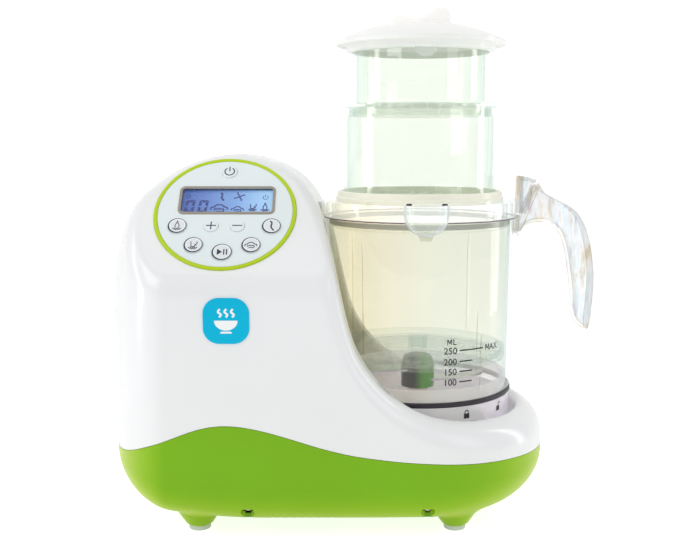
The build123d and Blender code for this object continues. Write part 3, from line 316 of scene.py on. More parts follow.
# The lid is yellowish on its -X side and glows by emit: both painted light.
LID_CLEAR = clear("jar_lid_clear", (0.985, 0.985, 0.978), (0.88, 0.91, 0.92), haze=0.05,
                  rough=0.02, gloss=1.8, power=2.4, emit=0.06, painted_warm_light=(1.0, 0.985, 0.95))
LID_SEAM_SHADOW = clear("seam_shadow", (0.55, 0.45, 0.55), (0.35, 0.25, 0.38), haze=0.2,
                 haze_col=(0.25, 0.18, 0.25))
# The spout cover glows by emit: painted light.
SPOUT = clear("spout_clear", (0.98, 0.99, 0.992), (0.8, 0.88, 0.91), haze=0.05, gloss=2.4,
              power=1.8, emit=0.05)
# The rim's milky haze is painted highlight along the U's edge.
SPOUT_RIM = clear("spout_rim_clear", (0.96, 0.975, 0.98), (0.75, 0.82, 0.86), haze=0.3,
                  haze_col=(0.95, 0.97, 0.98), gloss=3.0, power=1.4)
HINGE_SHADOW = plastic("hinge_shadow", (0.03, 0.02, 0.04), rough=0.5, spread=0.2)
LID_TAB = clear("tab_translucent", (0.97, 0.98, 0.97), (0.85, 0.9, 0.88), haze=0.45,
                haze_col=(0.93, 0.95, 0.93), gloss=1.5)
# These milky plastics glow by emit: painted light that brightens them.
LID_MILKY = plastic("lid_milky", srgb("F2F0E0"), spread=0.015, grain=500, bump=0.06, coat=0.3,
                    sss=0.25, emit=0.08)
STEAM_LID = plastic("steamer_lid_milky", srgb("F1F2EF"), spread=0.012, grain=500, bump=0.05,
                    coat=0.3, sss=0.25, emit=0.09)
FIN = plastic("fin_milky", srgb("F3F1EF"), rough=0.4, spread=0.012, grain=500, bump=0.05,
              sss=0.25, emit=0.24)
COVER = plastic("handle_milky", srgb("F3F4F5"), rough=0.22, spread=0.015, grain=500, bump=0.05,
                coat=0.4, sss=0.2, emit=0.27)
HANDLE = painted_glint_handle()

# CAD nodes that wear each material; the rest wear BUTTON
NODE_MATERIALS = (
    ("upper_housing filler_cap", WHITE),
    ("base_shell", GREEN),
    ("panel_fascia power_button plus_button minus_button", FASCIA),
    ("shaft_seal jar_gasket", SEAL),
    ("jar_body", JAR),
    ("jar_base", BASE_CLEAR),
    ("lower_basket upper_basket", BASKET),
    ("jar_lid", LID_CLEAR),
    ("steamer_lid", STEAM_LID),
    ("handle_cover", COVER),
    ("lcd_module", lcd_backlight()),
    ("lcd_window", clear("lcd_window_clear", (0.97, 0.98, 1.0), (0.8, 0.85, 0.95), rough=0.02,
                         gloss=0.6)),
    ("water_tank", clear("tank_plastic", (0.8, 0.88, 0.92), (0.55, 0.66, 0.72), haze=0.35)),
    ("steam_tray", clear("tray_clear", (0.96, 0.975, 0.97), (0.82, 0.88, 0.89), gloss=0.6)),
    ("panel_ring", plastic("ring_gloss_green", srgb("B8D400"), rough=0.35, grain=700,
                           bump=0.06, coat=0.1, spec=0.3)),
    ("foot_pads", plastic("pad_rubber", srgb("DCE2DC"), rough=0.7, spread=0.05, bump=0.4)),
    ("front_badge", plastic("badge_gloss_blue", srgb("00BBE2"), rough=0.35, bump=0.03,
                            coat=0.05, spec=0.12)),
    ("housing_screws chassis_screws motor_rotor spindle heating_element blade_shaft",
     plastic("plain_steel", (0.52, 0.53, 0.55), rough=0.32, spread=0.08, grain=600, bump=0.2,
             metal=1.0)),
    ("chassis_plate", plastic("zinc_plate", (0.58, 0.59, 0.6), rough=0.45, grain=120,
                              spread=0.15, bump=0.2, metal=1.0)),
    ("motor_case", plastic("motor_can", (0.3, 0.31, 0.33), rough=0.45, spread=0.1, grain=300,
                           bump=0.2, metal=0.8)),
    ("motor_stator", plastic("copper_winding", (0.62, 0.3, 0.15), rough=0.4, spread=0.2,
                             grain=250, bump=0.5, metal=1.0)),
    ("drive_belt", plastic("belt_rubber", (0.02, 0.02, 0.02), rough=0.7, spread=0.3, grain=500,
                           bump=0.6)),
    ("motor_pulley spindle_pulley bearing_housing",
     plastic("natural_nylon", (0.66, 0.64, 0.56), rough=0.5, spread=0.05, grain=500, bump=0.3)),
    ("spindle_bearings", plastic("bearing_steel", (0.62, 0.63, 0.64), rough=0.2, spread=0.08,
                                 grain=600, bump=0.1, metal=1.0)),
    ("drive_coupling jar_coupling",
     plastic("black_nylon", (0.02, 0.02, 0.022), rough=0.5, spread=0.2, grain=700, bump=0.3)),
    ("panel_board power_board", plastic("circuit_board", (0.03, 0.2, 0.07), rough=0.45,
                                        spread=0.25, grain=150, bump=0.3)),
    ("interlock_switch thermostat", plastic("switch_plastic", (0.03, 0.03, 0.035), rough=0.5,
                                            spread=0.15, grain=800, bump=0.3)),
    ("boiler", plastic("cast_aluminium", (0.62, 0.63, 0.64), rough=0.5, spread=0.12, grain=350,
                       bump=0.6, metal=1.0)),
    ("feed_hose steam_nozzle steam_hose lid_seal",
     plastic("silicone_rubber", (0.72, 0.74, 0.73), rough=0.45, grain=500, bump=0.2, sss=0.3)),
    ("cord_grommet power_cord power_plug",
     plastic("cord_pvc", srgb("E9EAEA"), rough=0.45, spread=0.03, bump=0.25)),
    ("shaft_bush", plastic("sintered_bronze", (0.42, 0.25, 0.1), rough=0.5, spread=0.15,
                           grain=700, bump=0.5, metal=1.0)),
    # The hub's near-black -X flank is painted shade.
    ("blade_hub", plastic("hub_green", srgb("55A512"), spread=0.1, grain=500, bump=0.1,
                          coat=0.4, extra=painted_shade_flank)),
    ("blades", plastic("blade_steel", (0.7, 0.71, 0.73), rough=0.14, spread=0.06, bump=0.1,
                       metal=1.0)),
)


# ------------------------------------------------------------------ mesh helpers
def link_object(obj):
    SCENE.collection.objects.link(obj)
    return obj


def sharpen(obj, degrees):
    obj.data.set_sharp_from_angle(angle=math.radians(degrees))


def mesh_obj(name, verts, faces, material=None, sharp=35.0, metres=False):
    """A mesh shaded smooth up to the sharp angle, or flat when sharp is None."""
    mesh = bpy.data.meshes.new(name)
    verts = verts if metres else to_metres(verts)
    mesh.from_pydata([tuple(v) for v in verts], [], [tuple(f) for f in faces])
    mesh.validate()
    mesh.update()
    obj = link_object(bpy.data.objects.new(name, mesh))
    if sharp is not None:
        for face in mesh.polygons:
            face.use_smooth = True
        sharpen(obj, sharp)
    if material:
        mesh.materials.append(material)
    return obj


def quad_mesh(name, verts, quads):
    """A large mesh of quads, filled through arrays."""
    mesh = bpy.data.meshes.new(name)
    mesh.vertices.add(len(verts))
    mesh.vertices.foreach_set("co", to_metres(verts).astype(np.float32).ravel())
    mesh.loops.add(quads.size)
    mesh.loops.foreach_set("vertex_index", quads.astype(np.int32).ravel())
    mesh.polygons.add(len(quads))
    mesh.polygons.foreach_set("loop_start", (np.arange(len(quads)) * 4).astype(np.int32))
    mesh.polygons.foreach_set("loop_total", np.full(len(quads), 4, np.int32))
    mesh.update(calc_edges=True)
    mesh.validate()
    return link_object(bpy.data.objects.new(name, mesh))


def fix_normals(obj):
    bm = bmesh.new()
    bm.from_mesh(obj.data)
    bmesh.ops.recalc_face_normals(bm, faces=bm.faces)
    bm.to_mesh(obj.data)
    bm.free()


def lathe(name, profile, segments=128, x=0.0, y=0.0):
    """Turns a closed (r, z) outline round a vertical axis; points on the axis are shared."""
    verts, rings = [], []
    for r, z in profile:
        if r < 1e-6:
            rings.append([len(verts)] * segments)
            verts.append((x, y, z))
        else:
            rings.append(range(len(verts), len(verts) + segments))
            verts += [(x + r * math.cos(2 * math.pi * i / segments),
                       y + r * math.sin(2 * math.pi * i / segments), z)
                      for i in range(segments)]
    faces = []
    for ring, after in zip(rings, rings[1:] + rings[:1]):
        for i in range(segments):
            j = (i + 1) % segments
            corners = list(dict.fromkeys((ring[i], after[i], after[j], ring[j])))
            if len(corners) >= 3:
                faces.append(corners)
    obj = mesh_obj(name, verts, faces)
    fix_normals(obj)
    sharpen(obj, 35.0)
    return obj


def tube(r, z0, z1, x=0.0, y=0.0, segments=128):
    """A solid upright cylinder."""
    return lathe("tube", [(0, z0), (r, z0), (r, z1), (0, z1)], segments, x, y)


def skin(name, rings, sharp=35.0):
    """Rings of equal length skinned one to the next and capped at both ends."""
    count = len(rings[0])
    verts = [tuple(p) for ring in rings for p in ring]
    last = len(verts) - 1
    faces = [tuple(range(count)), tuple(range(last, last - count, -1))]
    for a in range(0, len(verts) - count, count):
        for i in range(count):
            j = (i + 1) % count
            faces.append((a + i, a + count + i, a + count + j, a + j))
    obj = mesh_obj(name, verts, faces, sharp=sharp)
    fix_normals(obj)
    return obj


def prism_y(outline, y0, y1):
    """An (x, z) outline extruded along Y."""
    return skin("prism", [[(x, y, z) for x, z in outline] for y in (y0, y1)], None)


def prism_z(outline, z0, z1):
    """An (x, y) outline extruded along Z."""
    return skin("prism", [[(x, y, z) for x, y in outline] for z in (z0, z1)], None)


def lay_along_x(obj, centre, flatten=1.0):
    """Tips a solid turned round the origin onto its side, centred on a design point."""
    obj.data.transform(
        Matrix.Translation(point(*centre)) @ Matrix.Rotation(math.pi / 2, 4, "Y")
        @ Matrix.Scale(flatten, 4, (1, 0, 0)) @ Matrix.Translation(-point(0, 0, 0)))


def joined(name, objects):
    """Several separate closed meshes as one mesh."""
    bm = bmesh.new()
    for obj in objects:
        bm.from_mesh(obj.data)
        bpy.data.objects.remove(obj)
    mesh = bpy.data.meshes.new(name)
    bm.to_mesh(mesh)
    bm.free()
    return link_object(bpy.data.objects.new(name, mesh))


def boolean(obj, cutter, operation="DIFFERENCE"):
    """Applies a boolean and removes the cutter."""
    modifier = obj.modifiers.new("b", "BOOLEAN")
    modifier.operation = operation
    modifier.object = cutter
    modifier.solver = "MANIFOLD"
    depsgraph = bpy.context.evaluated_depsgraph_get()
    depsgraph.update()
    mesh = bpy.data.meshes.new_from_object(obj.evaluated_get(depsgraph), depsgraph=depsgraph)
    obj.modifiers.clear()
    old = obj.data
    mesh.name = old.name
    obj.data = mesh
    bpy.data.meshes.remove(old)
    bpy.data.objects.remove(cutter)


def paint(obj, material):
    obj.data.materials.clear()
    obj.data.materials.append(material)
    obj.data.polygons.foreach_set("material_index", [0] * len(obj.data.polygons))


def take(obj, material, body, slot_name, *nodes, sharp=32.0):
    """Finishes a piece: material, shading, and what it rides on and stands in for."""
    paint(obj, material)
    for face in obj.data.polygons:
        face.use_smooth = True
    sharpen(obj, sharp)
    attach(obj, body)
    if nodes:
        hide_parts(*nodes)


# ------------------------------------------------------------------ curves
def round_profile(points, radius, steps=4):
    """Rounds the corners of a closed (r, z) outline; radius is a number or one per point.

    Corners at r <= 0 stay sharp.
    """
    out = []
    for i, corner in enumerate(points):
        p = np.array(corner, float)
        r = radius[i] if isinstance(radius, (list, tuple)) else radius
        if r <= 0 or p[0] < 1e-6:
            out.append(tuple(p))
            continue
        back = np.array(points[i - 1], float) - p
        ahead = np.array(points[(i + 1) % len(points)], float) - p
        back_len, ahead_len = np.linalg.norm(back), np.linalg.norm(ahead)
        back, ahead = back / back_len, ahead / ahead_len
        angle = math.acos(max(-1, min(1, float(back @ ahead))))
        if angle > math.radians(172) or angle < 0.02:
            out.append(tuple(p))
            continue
        reach = min(r / math.tan(angle / 2), 0.45 * back_len, 0.45 * ahead_len)
        r = reach * math.tan(angle / 2)
        middle = back + ahead
        centre = p + middle / np.linalg.norm(middle) * (r / math.sin(angle / 2))
        start, end = p + back * reach - centre, p + ahead * reach - centre
        first = math.atan2(start[1], start[0])
        sweep = (math.atan2(end[1], end[0]) - first + math.pi) % (2 * math.pi) - math.pi
        for k in range(steps + 1):
            t = first + sweep * k / steps
            out.append((centre[0] + r * math.cos(t), centre[1] + r * math.sin(t)))
    return out


def spline(points, per=8):
    """Smooth curve through the points, with per steps between neighbours."""
    p = np.array(points, float)
    gap = np.maximum(np.linalg.norm(np.diff(p, axis=0), axis=1), 1e-6)
    slope = np.zeros_like(p)
    for i in range(1, len(p) - 1):
        before, after = (p[i] - p[i - 1]) / gap[i - 1], (p[i + 1] - p[i]) / gap[i]
        slope[i] = (before * gap[i] + after * gap[i - 1]) / (gap[i - 1] + gap[i])
    slope[0], slope[-1] = (p[1] - p[0]) / gap[0], (p[-1] - p[-2]) / gap[-1]
    out = []
    for i in range(len(p) - 1):
        h = gap[i]
        for k in range(per):
            s = k / per
            out.append((2 * s**3 - 3 * s**2 + 1) * p[i] + (s**3 - 2 * s**2 + s) * h * slope[i]
                       + (-2 * s**3 + 3 * s**2) * p[i + 1] + (s**3 - s**2) * h * slope[i + 1])
    out.append(p[-1])
    return np.array(out)


def relaxed(points, rounds):
    """Evens out small wobbles in a curve, ends held."""
    p = points.copy()
    for _ in range(rounds):
        p[1:-1] = 0.5 * p[1:-1] + 0.25 * (p[:-2] + p[2:])
    return p


def resample(points, count):
    """Evenly spaced points along the spline through a 2-D table."""
    curve = spline(points, 10)
    steps = np.linalg.norm(np.diff(curve, axis=0), axis=1)
    along = np.concatenate([[0], np.cumsum(steps)])
    t = np.linspace(0, along[-1], count)
    return np.stack([np.interp(t, along, curve[:, 0]), np.interp(t, along, curve[:, 1])], 1)


# ------------------------------------------------------------------ housing as one smooth form
LEFT_X = -189.2
HALF_DEPTH = 80.0
SHELL = 2.5                     # wall thickness
SOCKET_R, SOCKET_FLOOR = 62.0, 48.0
FEET = [(-135, -48), (20, -48), (-135, 48), (20, 48)]

# Side outline over the top, (x, z), left to right
TOP = [
    (LEFT_X, 100), (-189.2, 118), (-188.7, 135), (-187.4, 151.6), (-184.8, 168),
    (-179.9, 183.5), (-171.8, 197), (-161.8, 207.1), (-150.6, 214.9), (-138.6, 220.6),
    (-126.2, 223.9), (-113.7, 225), (-101, 223.6), (-88.3, 219.6), (-77, 213.5), (-68.5, 205),
    (-62.5, 195), (-58, 183), (-54.6, 170), (-51.6, 156), (-48.6, 141.5), (-45.4, 128),
    (-41.2, 114.5), (-35.2, 104), (-27.4, 94.2), (-18.2, 85.6), (-8, 79.2), (3, 74.6),
    (15, 71.7), (32, 69.9), (50, 69.5)]
# Line between the white upper housing and the green base, (x, z)
SPLIT = [
    (-215, 44), (-195, 48), (-179, 51), (-162, 59), (-144, 66), (-130.6, 70.9), (-119, 73),
    (-107, 72.6), (-92, 69.6), (-77, 65.2), (-61, 60.1), (-44, 55.8), (-27, 53.2),
    (-10.6, 51.4), (6, 50.5), (23, 49.4), (41, 48.4), (57, 47.3), (71.5, 45.6), (95, 43)]
# Rounding radii: position, radius there
TOP_ROUND = ([-186, -160, -130, -105, -45, 0, 30, 70], [64, 48, 25, 14, 9, 14, 16, 19])   # by x
LOW_ROUND = ([-178, -125, -40, 30, 70], [22, 24, 24, 25, 27])                            # by x
SLOPE_ROUND = ([165, 185, 205], [20, 26, 30])                                            # by z
SLOPE_COSINE = 0.7266           # between the control slope's normal and the top's
REAR_TILT = math.radians(35)    # bevel along the top at the rear

GRID_X, GRID_Z = np.arange(-216, 116, 1.0), np.arange(-12, 246, 1.0)


def side_table():
    """Signed distance to the side outline on a 1 mm grid.

    The outline's last two edges, at the right and below, only close it.
    """
    outline = np.vstack([[(LEFT_X, -60)], relaxed(spline(TOP, 6), 14),
                         [(180, TOP[-1][1])], [(180, -60)]])
    X, Z = np.meshgrid(GRID_X, GRID_Z, indexing="ij")
    q = np.stack([X.ravel(), Z.ravel()], 1)
    nearest = np.full(len(q), 1e18)
    inside = np.zeros(len(q), bool)
    for i, (a, b) in enumerate(zip(outline, np.roll(outline, -1, axis=0))):
        edge = b - a
        if i < len(outline) - 2:
            offset = q - a
            t = np.clip(offset @ edge / (edge @ edge), 0, 1)
            away = offset - t[:, None] * edge
            nearest = np.minimum(nearest, (away * away).sum(1))
        crosses = (a[1] <= q[:, 1]) != (b[1] <= q[:, 1])
        rise = edge[1] if abs(edge[1]) > 1e-12 else 1e-12
        inside ^= crosses & (q[:, 0] < a[0] + (q[:, 1] - a[1]) / rise * edge[0])
    distance = np.sqrt(nearest)
    return np.where(inside, -distance, distance).reshape(X.shape)


SIDE = side_table()


def side_distance(x, z):
    """The side table read between its grid points."""
    x = np.clip(x - GRID_X[0], 0, len(GRID_X) - 1.001)
    z = np.clip(z - GRID_Z[0], 0, len(GRID_Z) - 1.001)
    i, j = x.astype(int), z.astype(int)
    u, v = x - i, z - j
    return (SIDE[i, j] * (1 - u) * (1 - v) + SIDE[i + 1, j] * u * (1 - v)
            + SIDE[i, j + 1] * (1 - u) * v + SIDE[i + 1, j + 1] * u * v)


def round_max(a, b, r):
    """Intersection of two forms with its edge rounded by r."""
    return np.minimum(np.maximum(a, b), -r) + np.hypot(np.maximum(a + r, 0),
                                                       np.maximum(b + r, 0))


def fillet_max(a, b, r, c):
    """A true fillet of radius r between faces whose outward normals meet at cosine c."""
    u, v = a + r, b + r
    arc_ = np.sqrt(np.maximum((u * u + v * v - 2 * c * u * v) / (1 - c * c), 0)) - r
    return np.where((u > c * v) & (v > c * u), arc_, np.maximum(a, b))


def housing(p):
    """Signed distance to the closed housing, without the jar socket or the feet."""
    x, y, z = p[..., 0], p[..., 1], p[..., 2]
    wall = np.where(x > 0, np.hypot(np.maximum(x, 0) * 1.012, y), np.abs(y)) - HALF_DEPTH
    r = np.interp(x, *TOP_ROUND) * (1 - 0.14 * np.clip(y / 40, 0, 1))
    d = round_max(side_distance(x, z), wall, r)
    # the underside rises towards both ends
    underside = (11.0 + 0.0016 * np.maximum(0, -95 - x) ** 2
                 + 0.0003 * np.maximum(0, x + 20) ** 2)
    d = round_max(d, underside - z, np.interp(x, *LOW_ROUND))
    slope = (y - PANEL[1]) * PANEL_OUT[1] + (z - PANEL[2]) * PANEL_OUT[2]
    d = fillet_max(d, slope, np.interp(z, *SLOPE_ROUND), SLOPE_COSINE)
    rear = (y - 52) * math.cos(REAR_TILT) + (z - 200) * math.sin(REAR_TILT)
    return round_max(d, rear, 6.0)


def outside(p):
    """The housing with the jar's socket."""
    socket = np.maximum(np.hypot(p[..., 0], p[..., 1]) - SOCKET_R, SOCKET_FLOOR - p[..., 2])
    return round_max(housing(p), -socket, 5.0)


def with_feet(p):
    """Adds four feet that narrow downwards."""
    d = outside(p)
    z = p[..., 2]
    flare = math.radians(33)
    sole_r, sole_z, top_z = 7.6, 3, 16
    for x, y in FEET:
        r = np.hypot(p[..., 0] - x, p[..., 1] - y)
        cone = (r - sole_r - (z - sole_z) * math.tan(flare)) * math.cos(flare)
        cone = np.maximum(round_max(cone, sole_z - z, 1.0), z - top_z)
        d = -round_max(-d, -cone, 2.5)
    return d


def gradient(distance, points, reach=0.15):
    g = np.zeros_like(points)
    for k in range(3):
        step = np.zeros(3)
        step[k] = reach
        g[:, k] = (distance(points + step) - distance(points - step)) / (2 * reach)
    return g / np.maximum(np.linalg.norm(g, axis=1), 1e-9)[:, None]


def surface_nets(distance, lo, hi, step):
    """One vertex per crossed grid cell, then each is pulled onto the true surface."""
    axes = [np.arange(lo[i], hi[i] + step, step) for i in range(3)]
    grid = np.stack(np.meshgrid(*axes, indexing="ij"), -1)
    field = np.empty(grid.shape[:3])
    for i in range(len(grid)):
        field[i] = distance(grid[i])
    field[np.abs(field) < 1e-6] = 1e-6
    inside = field < 0
    shape = field.shape
    corners = [(a, b, c) for a in (0, 1) for b in (0, 1) for c in (0, 1)]
    count = np.zeros([n - 1 for n in shape], np.int8)
    for corner in corners:
        window = tuple(slice(c, c + n - 1) for c, n in zip(corner, shape))
        count += inside[window].astype(np.int8)
    mixed = (count > 0) & (count < 8)
    cells = np.argwhere(mixed)
    index = np.full(mixed.shape, -1, np.int64)
    index[mixed] = np.arange(len(cells))

    # each vertex is the mean of the crossings on its cell's edges
    total = np.zeros((len(cells), 3))
    hits = np.zeros(len(cells))
    for corner in corners:
        for k in range(3):
            if corner[k]:
                continue
            other = list(corner)
            other[k] = 1
            start = field[tuple((cells + np.array(corner)).T)]
            end = field[tuple((cells + np.array(other)).T)]
            crossed = (start < 0) != (end < 0)
            t = np.where(crossed, start / np.where(crossed, start - end, 1), 0)
            spot = np.tile(np.array(corner, float), (len(cells), 1))
            spot[:, k] += t
            total += spot * crossed[:, None]
            hits += crossed
    verts = (cells + total / hits[:, None]) * step + np.array([a[0] for a in axes])

    # each crossed grid edge gives a quad between its four cells
    quads = []
    for k in range(3):
        u, w = (k + 1) % 3, (k + 2) % 3
        turned = np.moveaxis(inside, k, 0)
        edges = np.argwhere(np.moveaxis(turned[:-1] != turned[1:], 0, k))
        edges = edges[(edges[:, u] > 0) & (edges[:, w] > 0)
                      & (edges[:, u] < shape[u] - 1) & (edges[:, w] < shape[w] - 1)]
        around = []
        for du, dw in ((-1, -1), (0, -1), (0, 0), (-1, 0)):
            cell = edges.copy()
            cell[:, u] += du
            cell[:, w] += dw
            around.append(index[tuple(cell.T)])
        quad = np.stack(around, 1)
        flipped = ~inside[tuple(edges.T)]
        quad[flipped] = quad[flipped][:, ::-1]
        quads.append(quad)
    for _ in range(3):
        d = distance(verts)
        verts = verts - np.clip(d, -step, step)[:, None] * gradient(distance, verts)
    return verts, np.vstack(quads)


def true_normals(obj, distance):
    """Gloss needs exact normals: they come from the form itself, except on cut faces."""
    mesh = obj.data
    corner_vert = np.zeros(len(mesh.loops), np.int32)
    mesh.loops.foreach_get("vertex_index", corner_vert)
    co = np.zeros(len(mesh.vertices) * 3, np.float32)
    mesh.vertices.foreach_get("co", co)
    points = co.reshape(-1, 3).astype(float) * 1000
    points[:, 0] -= AXIS_X * 1000
    points[:, 1] -= AXIS_Y * 1000
    face_normal = np.zeros(len(mesh.polygons) * 3, np.float32)
    mesh.polygons.foreach_get("normal", face_normal)
    sizes = np.zeros(len(mesh.polygons), np.int32)
    mesh.polygons.foreach_get("loop_total", sizes)
    corner_face = np.repeat(np.arange(len(mesh.polygons)), sizes)
    flat = face_normal.reshape(-1, 3)[corner_face]
    smooth = gradient(distance, points, 0.25)[corner_vert]
    on_form = np.abs(distance(points))[corner_vert] < 0.25
    use = on_form & ((smooth * flat).sum(1) > 0.80)
    normals = np.where(use[:, None], smooth, flat)
    for face in mesh.polygons:
        face.use_smooth = True
    mesh.normals_split_custom_set([tuple(n) for n in normals])
    mesh.update()


STEP = 2.0
GRID_LO, GRID_HI = (-200.0, -86.0, -1.0), (86.0, 86.0, 231.0)
OUTER = surface_nets(with_feet, GRID_LO, GRID_HI, STEP)
INNER = surface_nets(lambda p: housing(p) + SHELL, GRID_LO, GRID_HI, STEP)

CAP_X, CAP_Y = -118, 12                     # filler cap, flush with the top
SCREW_XS, SCREW_Y, SCREW_R = (-103.2, 1.7), 66, 4.0
split_line = relaxed(spline(SPLIT, 6), 6)


def below_split(dz):
    outline = [(x, z + dz) for x, z in split_line] + [(95, -20), (-215, -20)]
    return prism_y(outline, -100, 100)


def slope_disc(r, low, high):
    """A cylinder square to the control slope, between two depths."""
    angles = [2 * math.pi * i / 128 for i in range(128)]
    return skin("disc", [[PANEL + PANEL_RIGHT * r * math.cos(a) + PANEL_UP * r * math.sin(a)
                          + PANEL_OUT * depth for a in angles] for depth in (low, high)], None)


def make_upper():
    upper = quad_mesh("housing_upper", *OUTER)
    boolean(upper, below_split(0.0))
    hollow = quad_mesh("hollow", *INNER)
    # leaves a wall round the jar's socket
    boolean(hollow, tube(SOCKET_R + SHELL, SOCKET_FLOOR - SHELL, 260))
    boolean(upper, hollow)
    boolean(upper, slope_disc(41.9, -1.2, 30))                  # panel seat
    boolean(upper, slope_disc(37.5, -8, 10))                    # panel opening
    boolean(upper, tube(20.0, 195, 240, CAP_X, CAP_Y))          # filler
    boolean(upper, tube(9.0, 40, 52))                           # shaft seal
    boolean(upper, tube(2.56, 40, 52, 47.5, -31.5, 32))         # interlock plunger
    true_normals(upper, outside)
    return upper


def make_cap():
    cap = quad_mesh("filler_cap_top", *OUTER)
    boolean(cap, tube(19.7, 195, 240, CAP_X, CAP_Y), "INTERSECT")
    hollow = quad_mesh("hollow", *INNER)
    skirt = [(15.0, 205), (17.0, 205), (17.0, 240), (15.0, 240)]
    boolean(hollow, lathe("skirt", skirt, 96, CAP_X, CAP_Y))
    boolean(cap, hollow)
    grip = lathe("grip", [(0, -10.0), (3.0, -10.0), (4.6, 10.0), (0, 10.0)], 48)
    lay_along_x(grip, (CAP_X, 23.6, 222.6), flatten=0.8)
    boolean(cap, grip)
    true_normals(cap, outside)
    return cap


def slot_outline(x, y, length, width, steps=6):
    r = width / 2
    half = length / 2 - r
    turns = [math.pi * k / steps for k in range(steps + 1)]
    return ([(x + r * math.cos(t), y + half + r * math.sin(t)) for t in turns]
            + [(x - r * math.cos(t), y - half - r * math.sin(t)) for t in turns])


def make_base():
    base = quad_mesh("housing_base", *OUTER)
    boolean(base, below_split(-0.35), "INTERSECT")
    boolean(base, quad_mesh("hollow", *INNER))
    for y in (-SCREW_Y, SCREW_Y):
        for x in SCREW_XS:
            boolean(base, tube(SCREW_R, -5, 22, x, y, 48))
    for x in SCREW_XS:              # the front pair break into the rounded edge
        boolean(base, tube(4.1, -5, 22, x, -73.4, 48))
    slots = [prism_z(slot_outline(-72 + (k - 3.5) * 5, y, 24, 2.2), -5, 16)
             for k in range(8) for y in (-55, 55)]
    boolean(base, joined("slots", slots))
    true_normals(base, with_feet)
    return base


upper, cap, base = make_upper(), make_cap(), make_base()
for obj, material, body, node, slot_name in (
        (upper, WHITE, "housing", "upper_housing", "housing_white"),
        (base, GREEN, "housing", "base_shell", "base_green"),
        (cap, WHITE, "filler_cap", "filler_cap", "housing_white")):
    paint(obj, material)
    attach(obj, body)
    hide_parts(node)


# ------------------------------------------------------------------ CAD nodes
def smooth_group():
    """Geometry nodes that merge the facets and shade smooth up to 28 degrees."""
    group = bpy.data.node_groups.new("smooth_by_angle", "GeometryNodeTree")
    for direction in ("INPUT", "OUTPUT"):
        group.interface.new_socket("Geometry", in_out=direction,
                                   socket_type="NodeSocketGeometry")
    new, connect = group.nodes.new, group.links.new
    source, result = new("NodeGroupInput"), new("NodeGroupOutput")
    merge = new("GeometryNodeMergeByDistance")
    merge.inputs["Distance"].default_value = 0.000004
    faces = new("GeometryNodeSetShadeSmooth")
    faces.domain = "FACE"
    edges = new("GeometryNodeSetShadeSmooth")
    edges.domain = "EDGE"
    edges.inputs["Shade Smooth"].default_value = False
    angle = new("GeometryNodeInputMeshEdgeAngle")
    steep = new("FunctionNodeCompare")
    steep.data_type = "FLOAT"
    steep.operation = "GREATER_THAN"
    steep.inputs[1].default_value = math.radians(28)
    connect(angle.outputs["Unsigned Angle"], steep.inputs[0])
    connect(source.outputs[0], merge.inputs["Geometry"])
    connect(merge.outputs[0], faces.inputs["Geometry"])
    connect(faces.outputs[0], edges.inputs["Geometry"])
    connect(steep.outputs[0], edges.inputs["Selection"])
    connect(edges.outputs[0], result.inputs[0])
    return group


SMOOTH = smooth_group()
material_of = {node: material for names, material in NODE_MATERIALS for node in names.split()}
for name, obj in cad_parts.items():
    obj.data.materials.clear()
    obj.data.materials.append(material_of.get(name, BUTTON))
    obj.modifiers.new("smooth", "NODES").node_group = SMOOTH
    obj.modifiers.new("weighted", "WEIGHTED_NORMAL").keep_sharp = True


# ------------------------------------------------------------------ printed marks
# A mark is a list of groups; each group is a list of 2-D faces and becomes a thin solid.
def stroke(points, width, closed=False):
    """Faces of a stroke of constant width along a polyline."""
    p = np.array(points, float)
    count = len(p)
    normal = np.zeros_like(p)
    for i in range(count):
        before, after = p[i] - p[i - 1], p[(i + 1) % count] - p[i]
        if not closed and i == 0:
            before = after
        if not closed and i == count - 1:
            after = before
        before = before / max(np.linalg.norm(before), 1e-9)
        after = after / max(np.linalg.norm(after), 1e-9)
        across = np.array([-before[1], before[0]])
        mitre = across + np.array([-after[1], after[0]])
        mitre /= max(np.linalg.norm(mitre), 1e-6)
        normal[i] = mitre / max(0.45, float(mitre @ across))
    left, right = p + normal * (width / 2), p - normal * (width / 2)
    return [(left[i], left[(i + 1) % count], right[(i + 1) % count], right[i])
            for i in range(count if closed else count - 1)]


def solidify(faces, thickness, place):
    """2-D faces to a thin solid, each vertex put in space by place(u, v, height)."""
    verts, out, known = [], [], {}

    def vertex(p, height):
        key = (round(float(p[0]), 5), round(float(p[1]), 5), height)
        if key not in known:
            known[key] = len(verts)
            verts.append(place(float(p[0]), float(p[1]), height))
        return known[key]

    edges = {}
    for face in faces:
        top = [vertex(p, thickness) for p in face]
        bottom = [vertex(p, 0.0) for p in face]
        area = sum(face[i - 1][0] * face[i][1] - face[i][0] * face[i - 1][1]
                   for i in range(len(face)))
        if area < 0:
            top, bottom = top[::-1], bottom[::-1]
        out += [top, bottom[::-1]]
        for i in range(len(top)):
            edges[(top[i - 1], top[i])] = (bottom[i - 1], bottom[i])
    for (a, b), (c, d) in edges.items():
        if (b, a) not in edges:
            out.append((b, a, c, d))
    return verts, out


def mark(name, groups, place, material, body, thickness=0.07):
    verts, faces = [], []
    for group in groups:
        new_verts, new_faces = solidify(group, thickness, place)
        faces += [tuple(i + len(verts) for i in face) for face in new_faces]
        verts += new_verts
    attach(mesh_obj(name, verts, faces, material, sharp=None), body)


def arc(x, y, r, start, end, steps=24, ry=None):
    """Points along an arc between two angles in degrees; ry makes it elliptical."""
    ry = r if ry is None else ry
    angles = [math.radians(start + (end - start) * k / steps) for k in range(steps + 1)]
    return [(x + r * math.cos(a), y + ry * math.sin(a)) for a in angles]


def circle(x, y, r, steps):
    return arc(x, y, r, 0, 360, steps)[:-1]


